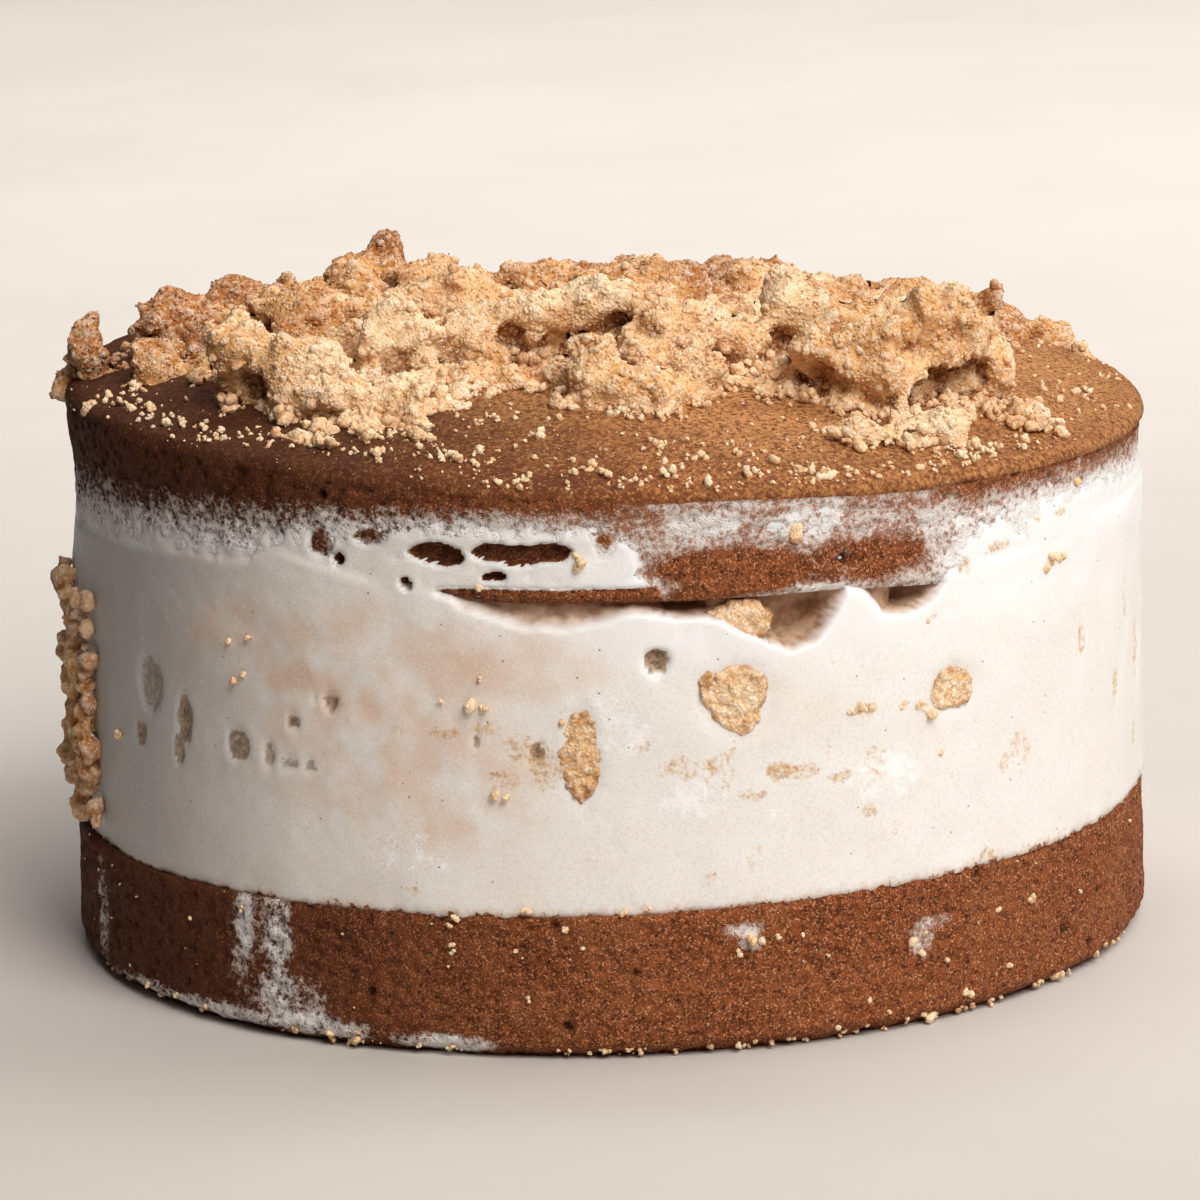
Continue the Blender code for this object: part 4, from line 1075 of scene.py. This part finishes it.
# Single round clumps on the heap, as (x, y, z, radius)
CLUMPS = (
    (-30.5, 44.0, 90.6, 3.0), (-37.0, 43.0, 87.6, 1.9), (54.6, -33.0, 95.0, 2.2), (50.0, -35.5, 94.2, 3.0),
    (7.0, -37.5, 89.0, 5.4), (10.0, -36.0, 92.0, 4.0),
)
# The relief of sandy crumb as (size of the grains, how far they stand out)
GRAIN_RELIEF = ((1.7, 0.16), (0.95, 0.14))


def crumb_tint(points, token, height, valley=0.0):
    """The colour at each point: pale in front, golden and toasted in spots, and darker towards the back and
    the left.

    The height is how far the point stands out of its surroundings in millimetres, and the valley is
    1 deep between the lumps and 0 on them. Both sunk points and valleys get painted shade.
    """
    tone = 0.25 + 0.30 * smooth_noise(points, 9.0, 131) + 0.20 * smooth_noise(points, 3.0, 132)
    towards_back = smooth_step((points[:, 1] + 10.0) / 40.0)
    towards_left = smooth_step((-points[:, 0] - 30.0) / 30.0)
    tone += 0.34 * towards_back + 0.30 * towards_left
    for x, y, z, reach, amount in TOASTED_SPOTS:
        distance = np.linalg.norm(points - (x, y, z), axis=1)
        tone += amount * smooth_step(1.6 - distance / reach)
    tone += 0.42 * (token - 0.5)
    tone = np.clip(tone, 0.0, 1.0)[:, None]
    light = CREAM + (PALE - CREAM) * np.clip(tone / 0.30, 0.0, 1.0)
    middle = light + (GOLDEN - light) * np.clip((tone - 0.30) / 0.35, 0.0, 1.0)
    baked = middle + (TOASTED - middle) * np.clip((tone - 0.65) / 0.35, 0.0, 1.0)
    # Painted shade in the crevices, where a point is sunk below its surroundings.
    sunk = smooth_step((0.05 - height) / 0.45)[:, None]
    baked = baked + (CREVICE_SHADE - baked) * (0.88 * sunk)
    raised = smooth_step((height - 0.10) / 0.30)[:, None]
    baked = baked + (RAISED - baked) * (0.40 * raised)
    # Painted shade deep between the lumps.
    return baked * (1.0 - np.reshape(valley, (-1, 1)) * VALLEY_SHADE)


def granular(points, seed):
    """How far a crumb's surface stands out for its grains, and a random number for each grain."""
    lift = np.zeros(len(points))
    for index, (size, depth) in enumerate(GRAIN_RELIEF):
        near, token = cell_noise(points, size, seed + 9 * index)
        lift += depth * (np.sqrt(np.clip(1.0 - (near / 0.66) ** 2, 0.0, 1.0)) - 0.6)
        tokens = token if index == 0 else 0.5 * (tokens + token)
    lift += 0.16 * layered_noise(points, 1.5, seed + 30, 2)
    return lift, tokens


def standing_out(points, quads, rounds=8):
    """How far each point stands out from the evened-out surface round it."""
    edges = np.concatenate([quads[:, [0, 1]], quads[:, [1, 2]], quads[:, [2, 3]], quads[:, [3, 0]]])
    first = np.concatenate([edges[:, 0], edges[:, 1]])
    second = np.concatenate([edges[:, 1], edges[:, 0]])
    count = np.bincount(first, minlength=len(points)).clip(1)
    even = points
    for _ in range(rounds):
        even = np.stack([np.bincount(first, even[second, axis], len(points)) for axis in range(3)], axis=1)
        even = even / count[:, None]
    return ((points - even) * vertex_normals(points, triangles_of(quads))).sum(axis=1)


def depth_behind(points):
    """How far each point lies behind the frontmost one in the same direction, seen from the front."""
    across = np.round(points[:, 0] / SEEN_CELL).astype(int)
    rise = points[:, 1] * math.sin(VIEW_RISE) + points[:, 2] * math.cos(VIEW_RISE)
    rise = np.round(rise / SEEN_CELL).astype(int)
    near = points[:, 2] * math.sin(VIEW_RISE) - points[:, 1] * math.cos(VIEW_RISE)
    wide = across.max() - across.min() + 1
    index = (rise - rise.min()) * wide + across - across.min()
    front = np.full(index.max() + 1, -1e9)
    np.maximum.at(front, index, near)
    return front[index] - near


def with_grains(points, faces, kinds, rng):
    """A crumb body with grains of several sizes set over its surface."""
    parts = [(points, faces)]
    for kind in kinds:
        parts.append(set_grains(points, faces, kind, rng)[:2])
    return joined(parts)


def set_grains(points, faces, kind, rng, wanted=None):
    """Grains on a surface: points, triangles, and for each point its grain's random number, how far
    out it is, and the point of the surface that its grain is on.
    """
    count, smallest, largest, lift, detail = kind
    places, out, chosen = scattered(points, faces, count, rng, wanted)
    sizes = smallest + (largest - smallest) * rng.random(count) ** 1.8
    centres = places + out * (lift * sizes)[:, None]
    grain_points, grain_faces = grains(centres, sizes, rng, detail)
    per_grain = len(grain_points) // count
    token = np.repeat(rng.random(count), per_grain)
    from_place = grain_points - np.repeat(places, per_grain, axis=0)
    height = (from_place * np.repeat(out, per_grain, axis=0)).sum(axis=1)
    return grain_points, grain_faces, token, height, np.repeat(faces[chosen, 0], per_grain)


def finished_crumb(points, quads, normals, seed):
    """Relief and colours for the skin of a crumb."""
    lift, token = granular(points, seed)
    points = points + normals * lift[:, None]
    height = standing_out(points, quads)
    # The valleys deep between the lumps get painted shade.
    valley = smooth_step((-standing_out(points, quads, 80) - 0.05) / 0.95)
    return points, crumb_tint(points, token, height, valley), valley


def make_heap(finish):
    """The heap: the solid's own form, eased and roughened, with grains fused over it."""
    rng = np.random.default_rng(21)
    points, faces = mesh_arrays(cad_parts["crumb_topping"].data)
    points, quads, normals = remeshed(points, faces, 0.95, smoothing=2)
    valleys = np.minimum(standing_out(points, quads, 30), 0.0)
    swell = 0.6 * smooth_noise(points, 7.0, 121) + 0.4 * smooth_noise(points, 3.6, 122)
    points = points + normals * (swell + 1.2 * valleys - 1.2)[:, None]
    above = points[:, 2] - dome_surface(points[:, 0], points[:, 1]) + 1.1 * smooth_noise(points, 2.6, 123)
    points[:, 2] -= FOOT_SUNK * smooth_step((FOOT_THIN - above) / FOOT_THIN)
    x, y, reach, depth = LOWERED
    inside = smooth_step(1.5 - np.hypot(points[:, 0] - x, points[:, 1] - y) / reach)
    points[:, 2] -= depth * inside * (above > FOOT_THIN)
    faces = triangles_of(quads)
    clumps = np.array(CLUMPS)
    points, faces = joined([(points, faces), grains(clumps[:, :3], clumps[:, 3], rng, 4, 0.03)])
    points, faces = with_grains(points, faces, FUSED_GRAINS, rng)
    near_points, near_quads, near_normals = remeshed(points, faces, NEAR_VOXEL)
    behind = depth_behind(near_points)[near_quads].min(axis=1)
    near_points, tint, valley = finished_crumb(near_points, near_quads, near_normals, 141)
    crumb_piece("streusel_front", near_points, near_quads[behind < SEEN_DEPTH], tint, finish)
    far_points, far_quads, far_normals = remeshed(points, faces, FAR_VOXEL)
    behind = depth_behind(far_points)[far_quads].max(axis=1)
    far_points, tint, _ = finished_crumb(far_points, far_quads, far_normals, 141)
    crumb_piece("streusel_back", far_points, far_quads[behind > SEEN_DEPTH - 2.5], tint, finish)
    make_heap_grains(near_points, near_quads, valley, rng, finish)
    make_foot_crumbs(near_points, rng, finish)


def make_foot_crumbs(points, rng, finish):
    """Separate crumbs along the heap's foot, where it ends on the dome in front."""
    above = points[:, 2] - dome_surface(points[:, 0], points[:, 1])
    low = points[(above < 2.0) & (above > -0.3) & (points[:, 1] < 8.0) & (depth_behind(points) < 1.5)]
    places = low[rng.choice(len(low), FOOT_CRUMBS)]
    sizes = 0.35 + 1.15 * rng.random(FOOT_CRUMBS) ** 1.8
    outward = places[:, :2] / np.linalg.norm(places[:, :2], axis=1, keepdims=True)
    places[:, :2] += outward * rng.uniform(-1.5, 2.6, (FOOT_CRUMBS, 1))
    places[:, :2] += rng.normal(size=(FOOT_CRUMBS, 2)) * 0.8
    kept = np.hypot(places[:, 0] - TOP_SHIFT, places[:, 1]) < SPONGE_RADIUS - 1.5
    places, sizes = places[kept], sizes[kept]
    places[:, 2] = dome_surface(places[:, 0], places[:, 1]) + 0.55 * sizes
    large = sizes > 0.75
    grain_points, faces = joined([
        cluster(places[large], sizes[large], rng, 2),
        cluster(places[~large], sizes[~large], rng, 1),
    ])
    token = hashed(np.floor(grain_points / 1.3).astype(np.int64), 175)
    tint = crumb_tint(grain_points, token, np.full(len(grain_points), 0.2))
    piece = make_mesh_object("streusel_foot_crumbs", grain_points, [faces], {"tint": tint})
    dress(piece, finish, "crumb", "crumb_topping")


def make_heap_grains(points, quads, valley, rng, finish):
    """The grains that lie on the heap where it is seen closest, thicker in some parts than in others."""
    faces = triangles_of(quads)
    centres = points[faces].mean(axis=1)
    cross = face_crosses(points, faces)
    towards = cross[:, 2] * math.sin(VIEW_RISE) - cross[:, 1] * math.cos(VIEW_RISE)
    towards = towards / np.maximum(np.linalg.norm(cross, axis=1), 1e-12)
    seen = (depth_behind(centres) < 1.2) * np.clip(towards + 0.55, 0.0, 1.0)
    beaded = smooth_step(0.75 + 1.4 * smooth_noise(centres, 8.0, 171)) + 0.12
    for name, kind, wanted in (
        ("streusel_large_grains", LARGE_GRAINS, seen * beaded),
        ("streusel_small_grains", SMALL_GRAINS, seen),
    ):
        grain_points, grain_faces, token, height, under = set_grains(points, faces, kind, rng, wanted)
        # Grains in the valleys share their painted shade.
        tint = crumb_tint(grain_points, token, 0.7 * height, valley[under])
        piece = make_mesh_object(name, grain_points, [grain_faces], {"tint": tint})
        dress(piece, finish, "crumb", "crumb_topping")


def crumb_piece(name, points, quads, tint, finish):
    """A piece made of some of a skin's faces."""
    used, renumbered = np.unique(quads, return_inverse=True)
    piece = make_mesh_object(name, points[used], [renumbered.reshape(-1, 4)], {"tint": tint[used]})
    dress(piece, finish, "crumb", "crumb_topping")


def cluster(places, sizes, rng, detail=1):
    """Small crumbs of a few grains each, as one set of points and triangles."""
    centres, radii = [], []
    for place, size in zip(places, sizes):
        grain_count = 1 if size < 0.35 else int(rng.integers(2, 5))
        shift = rng.normal(size=(grain_count, 3)) * 0.42 * size
        shift[0] = 0.0
        centres.append(place + shift)
        radii.append(size * rng.uniform(0.55, 0.8, grain_count))
    return grains(np.concatenate(centres), np.concatenate(radii), rng, detail)


def crumbs_piece(name, parts, finish, seed, slot="crumb"):
    """Loose crumbs as one piece, each tinted a little differently."""
    points, faces = joined(parts)
    tone = hashed(np.floor(points / 1.6).astype(np.int64), seed)
    tint = LOOSE + (PALE - LOOSE) * np.clip(tone * 1.1, 0.0, 0.8)[:, None]
    tint = tint + (GOLDEN - tint) * np.clip((tone - 0.85) * 4.0, 0.0, 0.6)[:, None]
    piece = make_mesh_object(name, points, [faces], {"tint": tint}, smooth=False)
    dress(piece, finish, slot)


# How many loose grains lie on the dome, along the lower sponge's foot and on its side
DOME_GRAINS = 900
FOOT_GRAINS = 150
SIDE_GRAINS = 170


def make_dome_crumbs(finish):
    """Loose crumbs and grains on the bare dome, thicker round the larger ones."""
    rng = np.random.default_rng(33)
    azimuths, reaches = np.array(DOME_CRUMBS).T
    sizes = rng.uniform(0.50, 1.10, len(azimuths))
    extra_azimuths = rng.uniform(-95.0, 125.0, DOME_GRAINS)
    extra_reaches = SPONGE_RADIUS * np.sqrt(rng.uniform(0.38, 0.985, DOME_GRAINS))
    extra_sizes = 0.10 + 0.42 * rng.random(DOME_GRAINS) ** 3.5
    near_azimuths = np.repeat(azimuths, 4) + rng.normal(size=4 * len(azimuths)) * 2.4
    near_reaches = np.repeat(reaches, 4) + rng.normal(size=4 * len(azimuths)) * 1.8
    near_sizes = rng.uniform(0.18, 0.60, 4 * len(azimuths))
    azimuths = np.concatenate([azimuths, extra_azimuths, near_azimuths])
    reaches = np.minimum(np.concatenate([reaches, extra_reaches, near_reaches]), SPONGE_RADIUS - 0.7)
    sizes = np.concatenate([sizes, extra_sizes, near_sizes])
    places = on_side(azimuths, reaches, np.zeros(len(azimuths)))
    places[:, 2] = dome_surface(places[:, 0], places[:, 1]) + 0.35 * sizes
    crumbs_piece("dome_crumbs", [cluster(places, sizes, rng)], finish, 34)


def make_side_crumbs(finish):
    """Crumbs stuck to the lower sponge, along its foot, and to the ice cream."""
    rng = np.random.default_rng(43)
    listed = list(BASE_CRUMBS)
    for azimuth in rng.uniform(-180.0, 180.0, FOOT_GRAINS):
        listed.append((azimuth, rng.uniform(0.4, 1.6), rng.uniform(0.3, 0.8)))
    for _ in range(SIDE_GRAINS):
        listed.append((rng.uniform(-180.0, 180.0), rng.uniform(2.0, 20.0), 0.16 + 0.5 * rng.random() ** 4))
    azimuths, heights, sizes = np.array(listed).T
    places = on_side(azimuths, SPONGE_RADIUS, heights)
    inward = foot_wear(places[:, 2:], CRUMB_WEAR)
    places[:, :2] *= 1.0 - inward / SPONGE_RADIUS
    sizes = 0.8 * sizes
    places[:, 2] = np.maximum(places[:, 2], 1.15 * sizes)
    crumbs_piece("base_crumbs", [cluster(places, sizes, rng)], finish, 44)
    azimuths, heights, sizes = np.array(ICE_CRUMBS).T
    places = on_side(azimuths, SPONGE_RADIUS - 0.3, heights)
    crumbs_piece("ice_cream_crumbs", [cluster(places, sizes, rng, 2)], finish, 45)


def make_side_strip(finish):
    """The strip of larger crumbs that caught on the left of the ice cream, and grains round it."""
    rng = np.random.default_rng(53)
    count = 64
    azimuths = -69.5 - rng.uniform(0.0, 3.0, count) - 4.5 * (np.arange(count) % 4)
    heights = 22.5 + 33.5 * (np.arange(count) + rng.uniform(-0.8, 0.8, count)) / count
    sizes = 0.7 + 1.3 * rng.random(count) ** 1.3
    places = on_side(azimuths, SPONGE_RADIUS + 0.35 * sizes, heights)
    points, faces = grains(places, sizes, rng, 4, 0.04)
    kinds = ((420, 0.5, 0.9, 0.0, 1), (2000, 0.3, 0.5, 0.2, 1))
    points, faces = with_grains(points, faces, kinds, rng)
    points, quads, normals = remeshed(points, faces, 0.46)
    points, tint, _ = finished_crumb(points, quads, normals, 151)
    piece = make_mesh_object("side_strip_crumbs", points, [quads], {"tint": tint})
    dress(piece, finish, "crumb")


# How much a frozen piece is darkened along its edge and in spots: darker crumb there, and painted shade where
# it meets the ice.
EDGE_DARKENING_AND_SHADE = np.array((0.42, 0.58, 0.72))
# How far each frozen piece is moved out of the ice cream, or into it where this is below 0
INCLUSION_OUT = {
    "inclusion_front": 0.35, "inclusion_right": 0.25, "inclusion_long": 0.1, "inclusion_gap": -0.7,
}


def make_inclusions(finish):
    """Each frozen crumb piece from its solid, shifted a little and roughened with grains."""
    for seed, name in enumerate(INCLUSION_OUT):
        rng = np.random.default_rng(60 + seed)
        points, faces = mesh_arrays(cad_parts[name].data)
        centre = points.mean(axis=0)
        outward = np.array((centre[0], centre[1], 0.0))
        outward /= np.linalg.norm(outward)
        points = points + outward * INCLUSION_OUT[name]
        points, faces = with_grains(points, faces, ((160, 0.35, 0.7, 0.0, 1), (700, 0.2, 0.4, 0.1, 1)), rng)
        points, quads, normals = remeshed(points, faces, 0.30)
        points, tint, _ = finished_crumb(points, quads, normals, 161 + seed)
        turned = np.degrees(np.arctan2(points[:, 0] - 0.5, -points[:, 1])) * SPONGE_RADIUS * math.pi / 180.0
        flat = np.stack([turned, points[:, 2]], axis=1)
        middle = 0.5 * (flat.max(axis=0) + flat.min(axis=0))
        share = np.hypot(*((flat - middle) / (0.5 * (flat.max(axis=0) - flat.min(axis=0)))).T)
        # The ragged edge: darker crumb, and painted shade where the piece meets the ice.
        edge = smooth_step((share - 0.60) / 0.40 + 0.9 * smooth_noise(points, 1.3, 165))
        tint = tint * (1.0 - edge[:, None] * EDGE_DARKENING_AND_SHADE)
        piece = make_mesh_object(name + "_look", points, [quads], {"tint": tint})
        dress(piece, finish, "frozen_crumb", name)


# Camera, lights and floor

CAMERA_DISTANCE = 1.0
CAMERA_ELEVATION = math.radians(12.6)
CAMERA_ROLL = math.radians(-1.58)
CAMERA_TARGET = Vector((-0.00066, 0.0, 0.0463))
CAMERA_SENSOR = 36.0
CAMERA_LENS = 6.979 * CAMERA_SENSOR / 1.2


def make_camera():
    """The camera at the photo's angle: a long lens a metre away, rolled slightly."""
    back = Vector((0.0, -math.cos(CAMERA_ELEVATION), math.sin(CAMERA_ELEVATION)))
    level = Vector((1.0, 0.0, 0.0))
    up = back.cross(level)
    right = math.cos(CAMERA_ROLL) * level + math.sin(CAMERA_ROLL) * up
    upward = math.cos(CAMERA_ROLL) * up - math.sin(CAMERA_ROLL) * level
    data = bpy.data.cameras.new("camera")
    data.sensor_width = CAMERA_SENSOR
    data.lens = CAMERA_LENS
    data.clip_start = 0.01
    data.clip_end = 20.0
    camera = bpy.data.objects.new("camera", data)
    bpy.context.scene.collection.objects.link(camera)
    turned = Matrix((right, upward, back)).transposed().to_4x4()
    camera.matrix_world = Matrix.Translation(CAMERA_TARGET + back * CAMERA_DISTANCE) @ turned
    bpy.context.scene.camera = camera


def make_light(name, azimuth, elevation, distance, size, power, colour):
    """A square area light that faces the cake from a direction."""
    angle = math.radians(azimuth)
    rise = math.radians(elevation)
    towards = Vector((math.sin(angle) * math.cos(rise), -math.cos(angle) * math.cos(rise), math.sin(rise)))
    data = bpy.data.lights.new(name, "AREA")
    data.shape = "SQUARE"
    data.size = size
    data.energy = power
    data.color = colour
    light = bpy.data.objects.new(name, data)
    bpy.context.scene.collection.objects.link(light)
    light.location = Vector((0.0, 0.0, 0.05)) + towards * distance
    light.rotation_euler = towards.to_track_quat("Z", "Y").to_euler()
    return light


FLAG_PLACE = (-0.19, -0.05, 0.175)
FLAG_TURN = (0.0, math.pi / 2, 0.35)


def make_flag():
    """A black card beside the cake's shaded side, out of the camera's sight, which keeps that side dark."""
    bpy.ops.mesh.primitive_plane_add(size=1.0, location=FLAG_PLACE, rotation=FLAG_TURN)
    flag = bpy.context.active_object
    flag.name = "flag"
    flag.scale = (0.33, 0.60, 1.0)
    flag.visible_camera = False
    flag.data.materials.append(plain_material("flag_black", (0.02, 0.02, 0.02), (0.03, 0.03, 0.03)))


def make_stage():
    """A plain pale floor, the soft lights and the pale surroundings."""
    bpy.ops.mesh.primitive_plane_add(size=12.0, location=(0.0, 0.0, 0.0))
    floor = bpy.context.active_object
    floor.name = "floor"
    floor.data.materials.append(plain_material("floor", (0.63, 0.585, 0.545), (0.60, 0.56, 0.52)))
    make_light("key", 27.0, 44.0, 1.5, 0.9, 22.5, (1.0, 0.965, 0.925))
    make_light("right", 100.0, 40.0, 1.5, 0.9, 8.0, (1.0, 0.98, 0.95))
    make_light("back", 150.0, 50.0, 1.5, 0.9, 2.5, (1.0, 0.98, 0.96))
    backdrop = make_light("far_floor", 176.0, 50.0, 1.25, 1.2, 5.0, (1.0, 0.97, 0.94))
    backdrop.rotation_euler = (0.0, 0.0, 0.0)
    backdrop.data.spread = math.radians(80.0)
    backdrop.visible_camera = False
    make_flag()
    world = bpy.data.worlds.new("surroundings")
    world.use_nodes = True
    background = world.node_tree.nodes["Background"]
    background.inputs["Color"].default_value = (0.93, 0.92, 0.90, 1.0)
    background.inputs["Strength"].default_value = 0.02
    bpy.context.scene.world = world
    bpy.context.scene.view_settings.view_transform = "Standard"


def main():
    make_camera()
    make_stage()
    sponge_colours = ((0.10, 0.022, 0.005), (0.27, 0.070, 0.018), (0.52, 0.19, 0.065))
    skin_colours = ((0.17, 0.048, 0.014), (0.34, 0.115, 0.034), (0.66, 0.32, 0.115))
    make_base(sponge_material("base_sponge_look", *sponge_colours))
    make_top(sponge_material("top_sponge_look", *sponge_colours, skin=skin_colours))
    make_ice_cream(ice_cream_material())
    crumb = crumb_material("streusel_look")
    make_heap(crumb)
    loose = crumb_material("loose_crumb_look", contrast=0.35)
    make_dome_crumbs(loose)
    make_side_crumbs(loose)
    make_side_strip(crumb)
    make_inclusions(crumb_material("frozen_crumb_look", frosted=0.5, contrast=1.4))


main()
